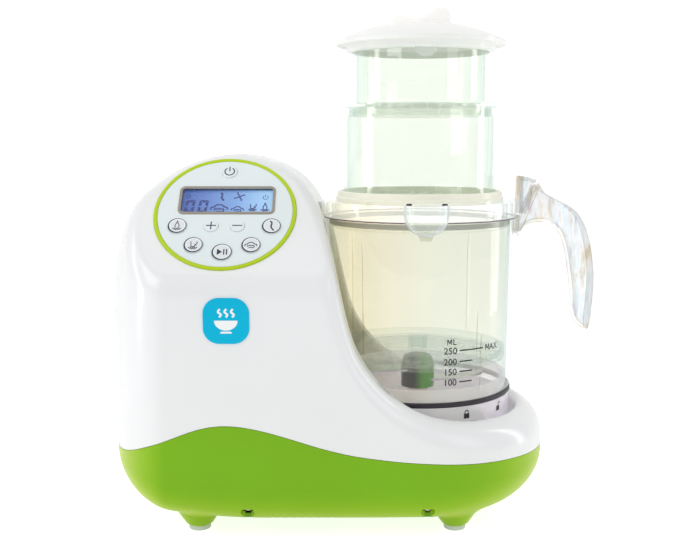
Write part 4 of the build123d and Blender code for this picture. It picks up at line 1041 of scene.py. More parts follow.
def rect(x0, y0, x1, y1):
    return [((x0, y0), (x1, y0), (x1, y1), (x0, y1))]


def scaled(points, size):
    return [(x * size, y * size) for x, y in points]


def moved(groups, dx, dy):
    return [[tuple((x + dx, y + dy) for x, y in face) for face in group] for group in groups]


def waves(y, amplitude, half_width, humps):
    """A row of rounded humps."""
    pitch = 2 * half_width / humps
    out = []
    for k in range(humps):
        hump = arc(-half_width + pitch * (k + 0.5), y, pitch / 2, 180, 0, 6, amplitude)
        out += hump[1:] if out else hump
    return out


# Icons: size scales the drawing, width is the stroke's at size 1
def power_icon(size):
    return [stroke(arc(0, 0, 3.0 * size, 122, 418, 36), 0.72 * size),
            stroke([(0, 0.2 * size), (0, 3.9 * size)], 0.72 * size)]


def blade_icon(size, width):
    points = [(-0.9, 3.1), (0.1, 2.2), (0.25, 1.1), (-0.1, 0.1), (0.0, -1.0), (0.9, -2.2),
              (1.7, -3.0)]
    return [stroke(spline([(x * size * 0.8, y * size) for x, y in points], 5), width * size)]


def fan_icon():
    out = []
    for k in range(4):
        a = math.radians(90 * k + 12)
        vane = [(x * math.cos(a) - y * math.sin(a), x * math.sin(a) + y * math.cos(a))
                for x, y in ((0.2, 0.0), (1.3, 0.25), (2.4, 0.7), (3.5, 0.35))]
        out.append(stroke(spline(vane, 5), 0.8))
    return out


def steam_icon(size, width):
    top = [(-3.4, -0.9), (-2.9, 0.2), (-1.9, 0.5), (-1.2, 1.3), (0, 1.6), (1.2, 1.3),
           (1.9, 0.5), (2.9, 0.2), (3.4, -0.9)]
    cup = [(-1.9, -1.3), (-1.5, -0.5), (-0.6, -0.7), (0, -0.3), (0.6, -0.7), (1.5, -0.5),
           (1.9, -1.3), (1.2, -2.0), (0, -1.8), (-1.2, -2.0)]
    return [stroke(scaled(spline(top, 5), size), width * size),
            stroke(scaled(spline(cup, 5), size), width * size * 0.9)]


def water_lines(size, width):
    return [stroke(scaled(line, size), width * size * 0.85)
            for line in (waves(-2.3, 0.6, 2.4, 4), waves(-3.0, 0.5, 1.7, 3))]


def bottle_icon(size, width=0.42):
    body = [(-1.0, -1.3), (-1.1, 0.4), (-0.7, 1.3), (-0.35, 1.7), (-0.3, 2.4), (0, 3.2),
            (0.3, 2.4), (0.35, 1.7), (0.7, 1.3), (1.1, 0.4), (1.0, -1.3)]
    return [stroke(scaled(body, size), width * size)] + water_lines(size, width)


def cup_icon(size, width=0.42):
    body = [(-1.3, 2.2), (-1.0, -1.2), (0.9, -1.2), (1.2, 0.4)]
    steam = spline([(1.9, -0.6), (1.5, 0.4), (2.3, 1.2), (1.9, 2.2)], 4)
    return [stroke(scaled(body, size), width * size),
            stroke(scaled(steam, size), width * size * 0.9)] + water_lines(size, width)


def play_icon(size):
    shapes = [[((-2.7, 2.2), (-2.7, -2.2), (0.2, 0.0))], rect(0.9, -2.0, 1.6, 2.0),
              rect(2.5, -2.0, 3.2, 2.0)]
    return [[tuple(scaled(face, size)) for face in group] for group in shapes]


def on_slope(right, up, out):
    """Places marks on the control slope, out above it."""
    def place(u, v, h):
        return (PANEL + PANEL_RIGHT * (right + u) + PANEL_UP * (up + v)
                + PANEL_OUT * (out + h))
    return place


def band(outer, inner):
    """Faces between two closed outlines of equal length."""
    return [[(outer[i - 1], outer[i], inner[i], inner[i - 1]) for i in range(len(outer))]]


DASH = rect(-2.9, -0.33, 2.9, 0.33)
PLUS = DASH + rect(-0.33, -2.8, 0.33, -0.33) + rect(-0.33, 0.33, 0.33, 2.8)
# Button, place right and up from the panel's centre, radius, icon
BUTTONS = (
    ("power", 0.5, 31, 4.6, power_icon(0.95)),
    ("plus", -7.4, -10.4, 4.2, [DASH, PLUS[1:]]),
    ("minus", 7.8, -10.4, 4.2, [DASH]),
    ("bottle", -27, -10.5, 5.5, bottle_icon(1.05)),
    ("blend", 27.5, -10.7, 5.5, blade_icon(1.15, 0.72)),
    ("reheat", -16.5, -24.4, 5.5, cup_icon(1.05)),
    ("play_pause", 0.2, -29.5, 5.8, play_icon(0.98)),
    ("steam", 16.5, -24.4, 5.5, steam_icon(1.05, 0.5)),
)
for key, right, up, r, icon in BUTTONS:
    body = key + "_button"
    mark("icon_" + key, icon, on_slope(right, up, 1.19), INK, body)
    if r > 5:                   # the larger buttons have a printed ring, white inside
        mark("ring_" + key, band(circle(0, 0, r - 0.12, 56), circle(0.2, 0.2, r - 0.72, 56)),
             on_slope(right, up, 1.12), INK, body, 0.12)
        mark("halo_" + key, band(circle(0, 0, r - 0.77, 56), circle(0.12, 0.12, r - 1.35, 56)),
             on_slope(right, up, 1.17), PRINT_WHITE, body, 0.06)

# ------------------------------------------------------------------ display
LCD_RIGHT, LCD_UP = 0.5, 9.0                    # from the panel's centre
LCD_W, LCD_H, LCD_R = 56.0, 20.3, 2.9
# Frame section: offset outwards, height
LCD_SECTION = ((0.07, 0.52), (0.07, 0.83), (-1.2, 0.83), (-1.18, 0.95), (-0.95, 1.04),
               (0.2, 1.04), (0.42, 0.92), (0.45, 0.52))


def rounded_rect(offset, steps=8):
    """The display's outline, moved outward by offset."""
    x, y = LCD_W / 2 - LCD_R, LCD_H / 2 - LCD_R
    r = max(LCD_R + offset, 0.05)
    return [p for cx, cy, start in ((x, y, 0), (-x, y, 90), (-x, -y, 180), (x, -y, 270))
            for p in arc(cx, cy, r, start, start + 90, steps)]


def make_lcd_frame():
    place = on_slope(LCD_RIGHT, LCD_UP, 0.0)
    rings = [[place(x, y, height) for x, y in rounded_rect(offset)]
             for offset, height in LCD_SECTION]
    count = len(rings[0])
    faces = []
    for a in range(len(rings)):
        b = (a + 1) % len(rings)
        for i in range(count):
            j = (i + 1) % count
            faces.append((a * count + i, a * count + j, b * count + j, b * count + i))
    obj = mesh_obj("lcd_frame", sum(rings, []), faces, LCD_FRAME, sharp=40)
    fix_normals(obj)
    sharpen(obj, 40)
    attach(obj, "housing")


def segment_zero(cx, cy):
    """A slanted six-segment zero."""
    width, height, bar, gap, slant = 5.4, 9.4, 1.6, 0.18, 0.10
    half = bar / 2
    x0, x1, y0, y1 = cx - width / 2, cx + width / 2, cy - height / 2, cy + height / 2
    segments = (
        ((x0 + gap, y1), (x1 - gap, y1), (x1 - gap - bar, y1 - bar), (x0 + gap + bar, y1 - bar)),
        ((x1, y1 - gap), (x1, cy + gap), (x1 - half, cy + gap + half * 0.3),
         (x1 - bar, cy + gap + half), (x1 - bar, y1 - gap - bar)),
        ((x1, cy - gap), (x1, y0 + gap), (x1 - bar, y0 + gap + bar), (x1 - bar, cy - gap - half)),
        ((x0 + gap, y0), (x0 + gap + bar, y0 + bar), (x1 - gap - bar, y0 + bar), (x1 - gap, y0)),
        ((x0, cy - gap), (x0 + bar, cy - gap - half), (x0 + bar, y0 + gap + bar), (x0, y0 + gap)),
        ((x0, y1 - gap), (x0 + bar, y1 - gap - bar), (x0 + bar, cy + gap + half), (x0, cy + gap)))
    return [[tuple((x + (y - cy) * slant, y) for x, y in segment)] for segment in segments]


make_lcd_frame()
glyphs = segment_zero(-22.0, -3.3) + segment_zero(-14.2, -3.3)
glyphs += [stroke(circle(-23.4, 4.6, 1.25, 20), 0.35, closed=True),          # clock
           stroke([(-23.4, 5.4), (-23.4, 4.6), (-22.8, 4.6)], 0.3)]
for icon, dx, dy in (
        (blade_icon(0.98, 1.15), -3.6, 4.1), (fan_icon(), 6.9, 4.2),
        (power_icon(0.5), 22.4, 3.6), (steam_icon(1.5, 0.62), -4.6, -4.3),
        (steam_icon(1.1, 0.62), 6.2, -5.2), (cup_icon(1.0, 0.62), 15.0, -3.7),
        (bottle_icon(1.0, 0.62), 22.4, -3.9)):
    glyphs += moved(icon, dx, dy)
mark("lcd_marks", glyphs, on_slope(LCD_RIGHT, LCD_UP, -1.19), LCD_INK, "housing")


# ------------------------------------------------------------------ badge: a bowl with steam
def on_badge(u, v, h):
    return np.array([-112.9 + u, -80.79 - h, 133.7 + v])


bowl = [tuple([(-6.6, 0.3), (6.6, 0.3)] + arc(0, 0.3, 6.6, 0, -180, 28, 5.6)[1:-1])]
foot = [((-2.7, -5.9), (2.7, -5.9), (3.4, -7.0), (-3.4, -7.0))]
steam = [stroke(spline([(x, 2.2), (x + 0.9, 3.6), (x - 0.7, 5.2), (x + 0.3, 6.9)], 6), 1.15)
         for x in (-3.6, 0.0, 3.6)]
mark("badge_pictogram", [bowl, foot] + steam, on_badge, PRINT_WHITE, "housing", 0.09)

# ------------------------------------------------------------------ jar
JAR_R_LOW, JAR_R_TOP, JAR_Z, RIM_Z = 58.5, 59.5, 80.0, 186.6
JAR_WALL = 2.5


def polar(azimuth, r, z):
    a = math.radians(azimuth)
    return (r * math.sin(a), -r * math.cos(a), z)


def jar_radius(z):
    """Outer radius of the tapered wall."""
    return JAR_R_LOW + (z - JAR_Z) / (RIM_Z - JAR_Z) * (JAR_R_TOP - JAR_R_LOW)


def rib(azimuth, z0, z1):
    """A slim upright rib on the bore, drawn out to a point at the top."""
    height = z1 - z0
    rings = []
    for z, size in ((z0, 1.0), (z0 + height * 0.75, 1.0), (z0 + height * 0.9, 0.7),
                    (z1 - 1.2, 0.35), (z1, 0.06)):
        root = jar_radius(z) - JAR_WALL + 0.6
        half = math.degrees(size / root)
        side, crest = root - 1.5 * size, root - 2.1 * size - 0.02
        rings.append([polar(azimuth + half * f, r, z) for f, r in (
            (-1, root), (-0.9, side), (-0.35, crest), (0.35, crest), (0.9, side), (1, root))])
    return skin("rib", rings)


def make_jar_wall():
    z = JAR_Z + 0.05
    wall = lathe("jar_wall", round_profile(
        [(JAR_R_LOW - JAR_WALL, z), (JAR_R_LOW, z), (JAR_R_TOP, RIM_Z),
         (JAR_R_TOP - JAR_WALL, RIM_Z)], [0.8, 1.2, 1.1, 1.1], 5), 192)
    for k in range(4):
        boolean(wall, rib(39.0 + 90 * k, 84.0, 121.0), "UNION")
        if k:
            boolean(wall, rib(49.0 + 90 * k, 106.0, 177.0), "UNION")
    take(wall, JAR, "jar", "jar_clear", "jar_body")


def make_pouring_lip():
    """A small V-shaped gutter at the front of the rim, widening upwards."""
    wall_r, low = 59.0, 176.0
    rings = []
    for k in range(9):
        z = low + (RIM_Z - low) * k / 8
        reach = 5.2 * (k / 8) ** 1.4
        half = 3.0 + 5.0 * (k / 8)
        outer, inner = [], []
        for j in range(9):
            s = -1 + j / 4
            y = (-math.sqrt(max(wall_r**2 - (half * s) ** 2, 0))
                 - reach * (1 - abs(s)) ** 0.8)
            outer.append((half * s, y - 0.3, z))
            inner.append((half * s * 0.8, y + 1.1, z))
        rings.append(outer + inner[::-1])
    take(skin("jar_pouring_lip", rings), JAR, "jar", "jar_clear")


make_jar_wall()
make_pouring_lip()

# ------------------------------------------------------------------ handle
# (x, z) lines from the jar outwards and down: outer edge, inner edge, and the seam
# between the clear core and the milky cover
HANDLE_OUTER = [
    (82.3, 206.2), (93, 201.3), (101.7, 193.6), (107.6, 184.4), (111.6, 172.4),
    (112.8, 158.1), (113.4, 140.1), (112.5, 125.7), (111.3, 117.2), (108.6, 114.6)]
HANDLE_INNER = [
    (62.7, 176.6), (66.1, 180.1), (72.4, 182.3), (78, 182.2), (83, 180.1), (88.1, 175.9),
    (91.9, 167.3), (94.5, 154.5), (97.1, 136.5), (98.4, 121.8), (101.4, 116.2), (106.0, 114.4)]
HANDLE_SEAM = [
    (74.0, 205.5), (75.3, 202.7), (81.1, 198.5), (88.3, 195), (96.1, 190.1), (100.6, 184.4),
    (104.4, 175.9), (107.7, 161.6), (109.2, 147.3), (109.0, 136.5), (107.9, 122),
    (107.3, 114.5)]
CHEEK = [
    (61.8, 211.4), (66.5, 211.1), (72.4, 209.4), (73.8, 205.6), (62.6, 176.9), (60.6, 172.8),
    (59.9, 178), (60.1, 186.9), (61.8, 187.6)]
CHEEK_ROUND = [1.2, 2.0, 1.6, 0.3, 0.2, 0.4, 0.5, 0.4, 0.4]
# (x, z) outlines of the plates between the two cheeks
ROOT_PLATES = (
    [(61.9, 188.2), (64.1, 188.2), (64.1, 210.8), (61.9, 210.8)],
    [(64.2, 208.6), (72.0, 207.2), (72.0, 209.3), (64.2, 210.9)],
    [(64.3, 188.4), (66.0, 187.8), (73.0, 204.6), (71.4, 205.4)],
    [(60.3, 175.5), (62.2, 178.2), (62.4, 187.0), (60.5, 186.8)])
STATIONS = 44
CORE_WALL = 2.5


def half_ring(a, b, half, r, steps=6):
    """One station: flat side at b, rounded side at a, of the given half-width along Y."""
    length = np.linalg.norm(a - b)
    r = min(r, length * 0.95, half)
    t = (b - a) / length
    quarter = [math.pi / 2 * k / steps for k in range(steps + 1)]
    side = [(a + t * (r - r * math.sin(q)), half - r + r * math.cos(q)) for q in quarter]
    points = [(b, -half)] + [(p, -y) for p, y in side] + side[::-1] + [(b, half)]
    return [(p[0], y, p[1]) for p, y in points]


def channel(a, b, half, r):
    """One station of the clear core: a rounded channel, open towards the seam."""
    length = np.linalg.norm(a - b)
    floor = a + (b - a) / length * min(CORE_WALL, length * 0.6)
    bore = half_ring(floor, b, half - CORE_WALL, max(r - CORE_WALL, 0.8))
    return half_ring(a, b, half, r) + bore[::-1]


def handle_half_width(f):
    """Tapers downwards and draws in at the very end."""
    return (10.4 - 1.6 * f) * (1 - 0.35 * max(0.0, (f - 0.93) / 0.07) ** 2)


half_widths = [handle_half_width(k / (STATIONS - 1)) for k in range(STATIONS)]
inner_line, seam_line, outer_line = (
    resample(line, STATIONS) for line in (HANDLE_INNER, HANDLE_SEAM, HANDLE_OUTER))

core = [channel(a, b, half, 6.0) for a, b, half in zip(inner_line, seam_line, half_widths)]
take(skin("jar_handle_clear", core), HANDLE, "jar", "jar_clear", sharp=50)

# the root beside the jar: two cheeks with plates between them
cheek = round_profile(CHEEK, CHEEK_ROUND, 3)
root = [prism_y(cheek, 7.6, 10.3), prism_y(cheek, -10.3, -7.6)]
root += [prism_y(plate, -7.5, 7.5) for plate in ROOT_PLATES]
take(joined("jar_handle_root", root), HANDLE, "jar", "jar_clear", sharp=30)

cover = [half_ring(a, b + (a - b) * 0.02, half, 3.2)
         for a, b, half in zip(outer_line, seam_line, half_widths)]
take(skin("handle_cover_shell", cover), COVER, "jar", "handle_milky", "handle_cover", sharp=50)


# ------------------------------------------------------------------ printed scale and locks
def on_wall(azimuth, z, r):
    """Wraps marks on an upright wall of radius r."""
    def place(u, v, h):
        a = math.radians(azimuth) + u / r
        return np.array([(r + h) * math.sin(a), -(r + h) * math.cos(a), z + v])
    return place


def on_housing(u, v, h):
    """Lays marks on the housing's own surface beside the socket."""
    r = 65.8
    a = math.radians(26.8) + u / r
    p = np.array([[(r - v) * math.sin(a), -(r - v) * math.cos(a), 78.0]])
    for _ in range(12):
        p = p - np.clip(outside(p), -4, 4)[:, None] * gradient(outside, p)
    return p[0] + gradient(outside, p)[0] * (0.02 + h)


def text_faces(text, height, align="LEFT"):
    """Plain sans lettering as 2-D faces, origin at the baseline."""
    curve = bpy.data.curves.new("t", "FONT")
    curve.body = text
    curve.size = 1.0
    curve.align_x = align
    curve.offset = 0.012
    curve.resolution_u = 4
    obj = link_object(bpy.data.objects.new("t", curve))
    depsgraph = bpy.context.evaluated_depsgraph_get()
    mesh = bpy.data.meshes.new_from_object(obj.evaluated_get(depsgraph), depsgraph=depsgraph)
    k = height / 0.70           # capitals are 0.70 of the type size
    spots = [(v.co.x * k, v.co.y * k) for v in mesh.vertices]
    faces = [tuple(spots[i] for i in face.vertices) for face in mesh.polygons]
    bpy.data.objects.remove(obj)
    bpy.data.curves.remove(curve)
    bpy.data.meshes.remove(mesh)
    return faces


def m_then(text, m_height, text_height, gap):
    """A plain capital M from four strokes, followed by lettering."""
    h, stem, width = m_height, 0.15 * m_height, 0.86 * m_height
    mid = width / 2
    foot_ = ((mid - stem * 0.55, 0.22 * h), (mid + stem * 0.55, 0.22 * h))
    letter = [rect(0.0, 0, stem, h), rect(width - stem, 0, width, h),
              [(*foot_, (stem * 1.25, h), (stem * 0.1, h))],
              [(*foot_, (width - stem * 0.1, h), (width - stem * 1.25, h))]]
    return letter + moved([text_faces(text, text_height)], width + gap, 0)


def split_rect(x0, y0, x1, y1, parts=6):
    """A rectangle in strips, so that it can bend round the wall."""
    xs = np.linspace(x0, x1, parts + 1)
    return [rect(xs[i], y0, xs[i + 1], y1)[0] for i in range(parts)]


def padlock(is_open):
    dx = 1.5 if is_open else 0.0
    bow = [(-1.1 + dx, 0.3), (-1.1 + dx, 1.3)] + arc(dx, 1.3, 1.1, 180, 0, 10)[1:]
    if not is_open:
        bow.append((1.1, 0.3))
    return [rect(-1.9, -2.6, 1.9, 0.4), stroke(bow, 0.62)]


def jar_print(name, groups, azimuth, z, wall_z):
    """Prints on the jar, just clear of the wall's radius at wall_z."""
    mark(name, groups, on_wall(azimuth, z, jar_radius(wall_z) + 0.02), INK_BLACK, "jar", 0.05)


LINE_START = 20.6                                       # azimuth
# Label, height, azimuth of the line's end
for label, z, line_end in (("250", 111.4, 37.0), ("200", 104.8, 29.0), ("150", 98.8, 29.0),
                           ("100", 92.5, 29.0)):
    jar_print("scale_" + label, [text_faces(label, 3.9, "RIGHT")], 19.0, z - 1.95, z)
    length = math.radians(line_end - LINE_START) * 58.8
    jar_print("scale_line_" + label, [split_rect(0, -0.4, length, 0.4)], LINE_START, z, z)
jar_print("scale_unit", m_then("L", 3.4, 3.5, 0.45), 12.9, 114.9, 116)
jar_print("scale_max", m_then("AX", 3.7, 3.8, 0.3), 39.0, 109.5, 111)
mark("lock_closed", padlock(False), on_wall(26.3, 72.0, 58.02), INK_BLACK, "jar_base", 0.06)
mark("lock_open", padlock(True), on_wall(54.0, 72.0, 58.02), INK_BLACK, "jar_base", 0.06)
mark("lock_pointer", [[((-1.9, -1.3), (1.9, -1.3), (-1.9, 1.5))]], on_housing, INK_BLACK,
     "housing", 0.06)

# ------------------------------------------------------------------ jar base ring and gasket
jar_base = lathe("jar_base_ring", round_profile(
    [(6.6, 66), (12, 66), (12, 72), (53.5, 72), (55.5, 70), (55.5, 52), (58, 52), (58, 76.9),
     (55.9, 76.9), (55.9, 87.4), (53.6, 87.4), (53.6, 75), (12, 75), (12, 76.4), (6.6, 76.4)],
    0.7), 192)
take(jar_base, BASE_CLEAR, "jar_base", "jar_clear", "jar_base")
gasket = lathe("gasket_ring", round_profile(
    [(56.0, 77.05), (58.9, 77.05), (58.9, 79.95), (56.0, 79.95)], 0.8), 192)
take(gasket, SEAL, "jar_base", "seal_black", "jar_gasket")


# ------------------------------------------------------------------ jar lid
def make_lid_drum():
    low = RIM_Z + 0.1
    drum = lathe("jar_lid_drum", round_profile(
        [(52.6, 195.4), (53, 195.4), (53, 180), (55.2, 180), (55.2, 195.4), (58.6, 195.4),
         (58.6, low), (61, low), (61, 196.4), (59.0, 198), (52.6, 198)],
        [0, 0, 0.8, 0.8, 1.0, 1.0, 0.6, 0.7, 2.4, 1.5, 0], 5), 192)
    # round inlet through the -X side
    angles = [math.radians(a) for a in range(0, 360, 12)]
    inlet = skin("inlet", [[(x, 3.6 * math.cos(a), 190 + 3.6 * math.sin(a)) for a in angles]
                           for x in (-66, -50)], None)
    boolean(drum, inlet)
    take(drum, LID_CLEAR, "jar_lid", "lid_milky", "jar_lid")


make_lid_drum()
plate = lathe("jar_lid_plate", round_profile(
    [(18, 195.5), (52.5, 195.5), (52.5, 198.6), (51.6, 199.0), (51.4, 202.4), (48.9, 202.4),
     (48.9, 198), (18, 198)], 0.7), 192)
take(plate, LID_MILKY, "jar_lid", "lid_milky")
# A thin dark ring in the seam under the lid: painted shadow.
section = round_profile([(59.0, 185.95), (60.4, 185.95), (60.4, 186.65), (59.0, 186.65)],
                        0.25, 2)
seam = [[polar(a, r, z) for r, z in section] for a in np.linspace(11.0, 349.0, 170)]
take(skin("jar_lid_seam", seam), LID_SEAM_SHADOW, "jar_lid", "lid_milky")

# Spout cover: a U-shaped scoop that bulges from the drum's front
SPOUT_HALF, SPOUT_LOW, SPOUT_TOP = 12.4, 179.4, 197.0
SPOUT_TURN = SPOUT_LOW + SPOUT_HALF             # height where the U's half circle begins
SCOOP_ROWS, SCOOP_COLS = 25, 33


def scoop(inset):
    """Points of the scoop in rows, from its top edge down round the U."""
    half = SPOUT_HALF - inset
    top = SPOUT_TOP - inset * 0.6
    out = []
    for j in range(SCOOP_ROWS):
        for i in range(SCOOP_COLS):
            x = half * math.sin((-1 + i / 16) * math.pi / 2)
            low = SPOUT_TURN - math.sqrt(max(half * half - x * x, 0))
            z = top + (low - top) * (j / 24)
            bulge = max(0.0, 1 - (x / half) ** 2) ** 0.5
            sunk = min(1.0, max(0.0, (SPOUT_TURN - z) / half))
            depth = (7.4 - inset) * bulge * (1 - 0.85 * sunk ** 2.2)
            out.append((x, -(math.sqrt(max(61.05**2 - x * x, 1)) + depth), z))
    return out


def make_spout_cover():
    rows, cols = SCOOP_ROWS, SCOOP_COLS
    sheet = rows * cols
    faces = []
    for a in range(rows - 1):
        for b in range(cols - 1):
            i = a * cols + b
            k = i + sheet
            faces.append((i, i + 1, i + cols + 1, i + cols))
            faces.append((k + cols, k + cols + 1, k + 1, k))
    border = ([b for b in range(cols)] + [a * cols + cols - 1 for a in range(1, rows)]
              + [(rows - 1) * cols + b for b in range(cols - 2, -1, -1)]
              + [a * cols for a in range(rows - 2, 0, -1)])
    for p, q in zip(border, border[1:] + border[:1]):
        faces.append((q, p, p + sheet, q + sheet))
    spout = mesh_obj("spout_cover", scoop(0.0) + scoop(1.5), faces)
    fix_normals(spout)
    take(spout, SPOUT, "jar_lid", "lid_milky", sharp=45)


def make_spout_rim():
    """A round bead down one side of the scoop, round the U and up the other."""
    half = SPOUT_HALF
    heights = np.linspace(194, SPOUT_TURN + 1, 6)
    turn = [math.radians(a) for a in range(180, 361, 6)]
    path = [(-half, 196.4)] + [(-half, z) for z in heights]
    path += [(half * math.cos(a), SPOUT_TURN + half * math.sin(a)) for a in turn]
    path += [(half, z) for z in heights[::-1]] + [(half, 196.4)]
    rings = []
    for i, (x, z) in enumerate(path):
        before, after = path[max(i - 1, 0)], path[min(i + 1, len(path) - 1)]
        along = Vector((after[0] - before[0], 0, after[1] - before[1])).normalized()
        y = -math.sqrt(61.2**2 - x * x) - 1.0 - 0.4 * max(0.0, (SPOUT_TURN - z) / half)
        front = Vector((0, -1, 0))
        side = along.cross(front).normalized()
        rings.append([tuple(Vector((x, y, z)) + side * (0.8 * math.cos(q))
                            + front * (0.9 * math.sin(q)))
                      for q in np.linspace(0, 2 * math.pi, 10, endpoint=False)])
    take(skin("spout_cover_rim", rings), SPOUT_RIM, "jar_lid", "lid_milky", sharp=60)


make_spout_cover()
make_spout_rim()
# The hinge pins are near-black: painted shadow in the hinge.
for side, x in (("l", -10.2), ("r", 10.2)):
    pin = lathe("spout_hinge_" + side, round_profile(
        [(0, -1.6), (0.62, -1.6), (0.62, 1.6), (0, 1.6)], [0, 0.3, 0.3, 0], 3), 24)
    lay_along_x(pin, (x, -62.0, 197.2))
    take(pin, HINGE_SHADOW, "jar_lid", None)


# ------------------------------------------------------------------ steamer baskets
def holes(rings, z0, z1):
    """Cutters for round holes; rings holds (radius of the ring, number of holes)."""
    out = []
    for r, count in rings:
        for k in range(count):
            a = 2 * math.pi * k / count
            out.append(tube(1.9, z0, z1, r * math.cos(a), r * math.sin(a), 14))
    return joined("holes", out)


def front_tab(name, r0, r1, outline, material, body, slot_name):
    """A flat outline wrapped on the front of a round wall, from radius r0 to r1."""
    rings = [[(r * math.sin(x / r1), -r * math.cos(x / r1), z) for x, z in outline]
             for r in (r0, r1)]
    take(skin(name, rings, None), material, body, slot_name)


lower = lathe("lower_basket_shell", round_profile(
    [(0, 198.05), (46.6, 198.05), (48.2, 201), (47.4, 206), (47.4, 253.5), (44.2, 253.5),
     (44.2, 250), (45.4, 248), (45.4, 204), (44, 200), (0, 200)],
    [0, 1.2, 2.5, 8, 0.5, 0.4, 0.8, 0.8, 3, 1.5, 0], 5), 192)
boolean(lower, holes(((8, 6), (16, 12), (24, 16), (32, 20), (39, 26)), 197, 201))
# notch at the front of the rim
boolean(lower, prism_z([(-8.2, -50), (8.2, -50), (8.2, -42), (-8.2, -42)], 249, 257))
take(lower, BASKET, "lower_basket", "basket_tint", "lower_basket")

upper_basket = lathe("upper_basket_shell", round_profile(
    [(0, 253.65), (40.5, 253.65), (42, 252), (42, 248), (43.9, 248), (43.9, 253.65),
     (47.4, 253.65), (47.4, 256), (46.8, 256.6), (41.6, 256.8), (41.6, 290.4), (39.6, 290.4),
     (39.6, 255.6), (0, 255.6)],
    [0, 0.5, 0.5, 0.6, 0.6, 0.6, 0.8, 0.4, 0.4, 0.8, 0.6, 0.6, 1.5, 0], 5), 192)
boolean(upper_basket, holes(((8, 6), (16, 12), (24, 16), (33, 22)), 252, 257))
take(upper_basket, BASKET, "upper_basket", "basket_tint", "upper_basket")
front_tab("upper_basket_tab", 44.2, 46.6, round_profile(
    [(-7.8, 254.4), (-7.8, 249.3), (7.8, 249.3), (7.8, 254.4)], [0.2, 1.8, 1.8, 0.2], 5),
    BASKET, "upper_basket", "basket_tint")

# ------------------------------------------------------------------ steamer lid
# Dome outline (r, z): over the top, round the rim and skirt, back under the dome
DOME_TOP = [(0, 304.9), (20, 303.6), (36, 300), (48, 295.4), (51.6, 293.8)]
DOME_RIM = [
    (52.5, 293.2), (52.6, 292.0), (52.2, 290.9), (51.6, 290.65), (51.0, 291.2), (50.2, 292.2),
    (46.2, 292.2), (46, 291.9), (46, 287.9), (45.6, 287.4), (42.3, 286.65), (42.0, 286.9),
    (42, 290.4), (39.5, 290.5), (39.4, 290.8)]
DOME_UNDER = [(39.4, 296.6), (20, 301.7), (0, 302.9)]
# Side outline of the grip fin, (x, z), left to right
FIN_TOP = [
    (-21.4, 301.8), (-20.6, 304.6), (-19.1, 307.3), (-16.7, 309.4), (-13.7, 310),
    (-9.9, 309.2), (-5.6, 308.5), (-0.7, 308.9), (3, 310.9), (6, 313.3), (8.5, 314.7),
    (10.9, 315.1), (14, 314.7), (16.8, 312.7), (18.4, 309.1), (19.0, 305.0), (19.1, 301.8)]
# Rounding of the fin's flanks: y, inset of the outline
FIN_SECTION = ((-5.4, 2.2), (-5.1, 1.2), (-4.3, 0.4), (-3.2, 0.0), (0, 0.0), (3.2, 0.0),
               (4.3, 0.4), (5.1, 1.2), (5.4, 2.2))

dome = lathe("steamer_lid_dome",
             [*map(tuple, spline(DOME_TOP, 6)), *DOME_RIM, *map(tuple, spline(DOME_UNDER, 6))],
             192)
boolean(dome, prism_z(arc(5.5, -25, 7, 0, 345, 23, 1.5), 289, 312))     # oval vent
take(dome, STEAM_LID, "steamer_lid", "lid_milky", "steamer_lid")
front_tab("steamer_lid_tab", 42.05, 43.4,
          [(-6.6, 287.6)] + arc(0, 287.4, 6.6, 180, 360, 24, 6.2)[1:-1] + [(6.6, 287.6)],
          LID_TAB, "steamer_lid", "lid_milky")

fin_outline = np.vstack([spline(FIN_TOP, 5), [(19.1, 301.2), (-21.4, 301.2)]])


def fin_ring(y, inset):
    """The fin's outline at y, drawn in by inset except along its foot."""
    count = len(fin_outline)
    out = []
    for i, p in enumerate(fin_outline):
        along = fin_outline[(i + 1) % count] - fin_outline[i - 1]
        along = along / max(np.linalg.norm(along), 1e-9)
        if p[1] > 302:
            p = p + np.array([along[1], -along[0]]) * inset
        out.append((p[0], y, p[1]))
    return out


fin = skin("steamer_lid_fin", [fin_ring(y, inset) for y, inset in FIN_SECTION])
take(fin, FIN, "steamer_lid", "lid_milky", sharp=60)

# ------------------------------------------------------------------ studio, in metres
# Soft lights: name, location, point aimed at, width, height, power
LIGHTS = (
    ("key_soft", (-0.95, -0.85, 1.0), (-0.02, 0.0, 0.14), 0.7, 0.9, 4.2),
    ("top_soft", (0.1, -0.1, 1.45), (0.0, 0.0, 0.1), 1.1, 0.9, 2.4),
    ("fill_soft", (1.0, -0.8, 0.7), (0.0, 0.0, 0.15), 0.45, 0.9, 1.4),
    ("strip_left", (-0.75, -0.1, 0.35), (0.04, 0.0, 0.2), 0.12, 0.9, 0.9),
    ("strip_right", (0.72, 0.1, 0.3), (0.04, 0.0, 0.2), 0.1, 0.8, 0.9),
)


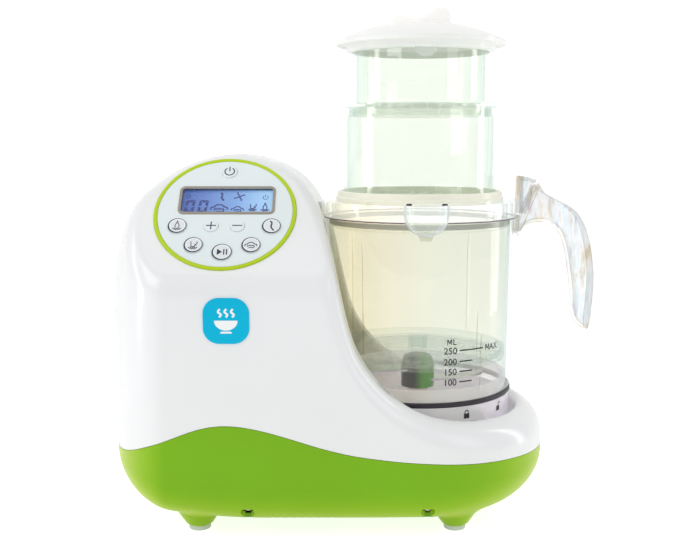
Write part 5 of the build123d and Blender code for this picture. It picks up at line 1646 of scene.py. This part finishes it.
def make_floor():
    """A floor that sweeps up into a wall behind."""
    material = plastic("pale_floor", (0.80, 0.80, 0.80), rough=0.6, spread=0.008, grain=60,
                       bump=0.02, emit=0.85, extra=dimmer_off_camera)
    bend = [math.radians(a) for a in range(6, 91, 6)]
    profile = [(-1.6, 0.0)] + [(y, 0.0) for y in np.linspace(-1.4, 0.9, 10)]
    profile += [(0.9 + 0.6 * math.sin(a), 0.6 - 0.6 * math.cos(a)) for a in bend]
    profile += [(1.5, 1.0), (1.5, 1.6), (1.5, 2.4)]
    columns = np.linspace(-2.6, 2.6, 8)
    verts = [(x, y, z) for x in columns for y, z in profile]
    count = len(profile)
    faces = []
    for a in range(len(columns) - 1):
        for i in range(a * count, (a + 1) * count - 1):
            faces.append((i, i + count, i + count + 1, i + 1))
    mesh_obj("floor_sweep", verts, faces, material, sharp=60, metres=True)


def make_light(name, location, target, width, height, power):
    light = bpy.data.lights.new(name, "AREA")
    light.shape = "RECTANGLE"
    light.size = width
    light.size_y = height
    light.energy = power
    obj = link_object(bpy.data.objects.new(name, light))
    obj.location = location
    aim = Vector(target) - Vector(location)
    obj.rotation_euler = aim.to_track_quat("-Z", "Y").to_euler()


def make_world():
    """Near-white all round, a little brighter above."""
    world = bpy.data.worlds.new("studio")
    SCENE.world = world
    nodes = Nodes(world, coords="Generated", output="OutputWorld")
    height = nodes.add("SeparateXYZ", {0: nodes.coords}).outputs[2]
    sky = nodes.ramp(height, [(0.0, (0.86, 0.865, 0.875)), (0.6, (1.0, 1.0, 1.0))])
    nodes.finish(nodes.add("Background", {"Color": sky, "Strength": 0.58}).outputs[0])


def make_camera():
    camera = bpy.data.cameras.new("camera")
    camera.lens = 50.0
    camera.sensor_width = 36.0
    camera.clip_start = 0.01
    obj = link_object(bpy.data.objects.new("camera", camera))
    obj.location = point(-43.7, -613.7, 234.6)
    obj.rotation_euler = (math.radians(82), 0, 0)
    SCENE.camera = obj


make_floor()
for light in LIGHTS:
    make_light(*light)
make_world()
if hasattr(SCENE, "cycles"):                    # absent where Cycles isn't enabled
    SCENE.cycles.transparent_max_bounces = 48   # light crosses many clear walls
SCENE.view_settings.view_transform = "Standard"
SCENE.view_settings.look = "None"
SCENE.view_settings.exposure = 0.0
make_camera()
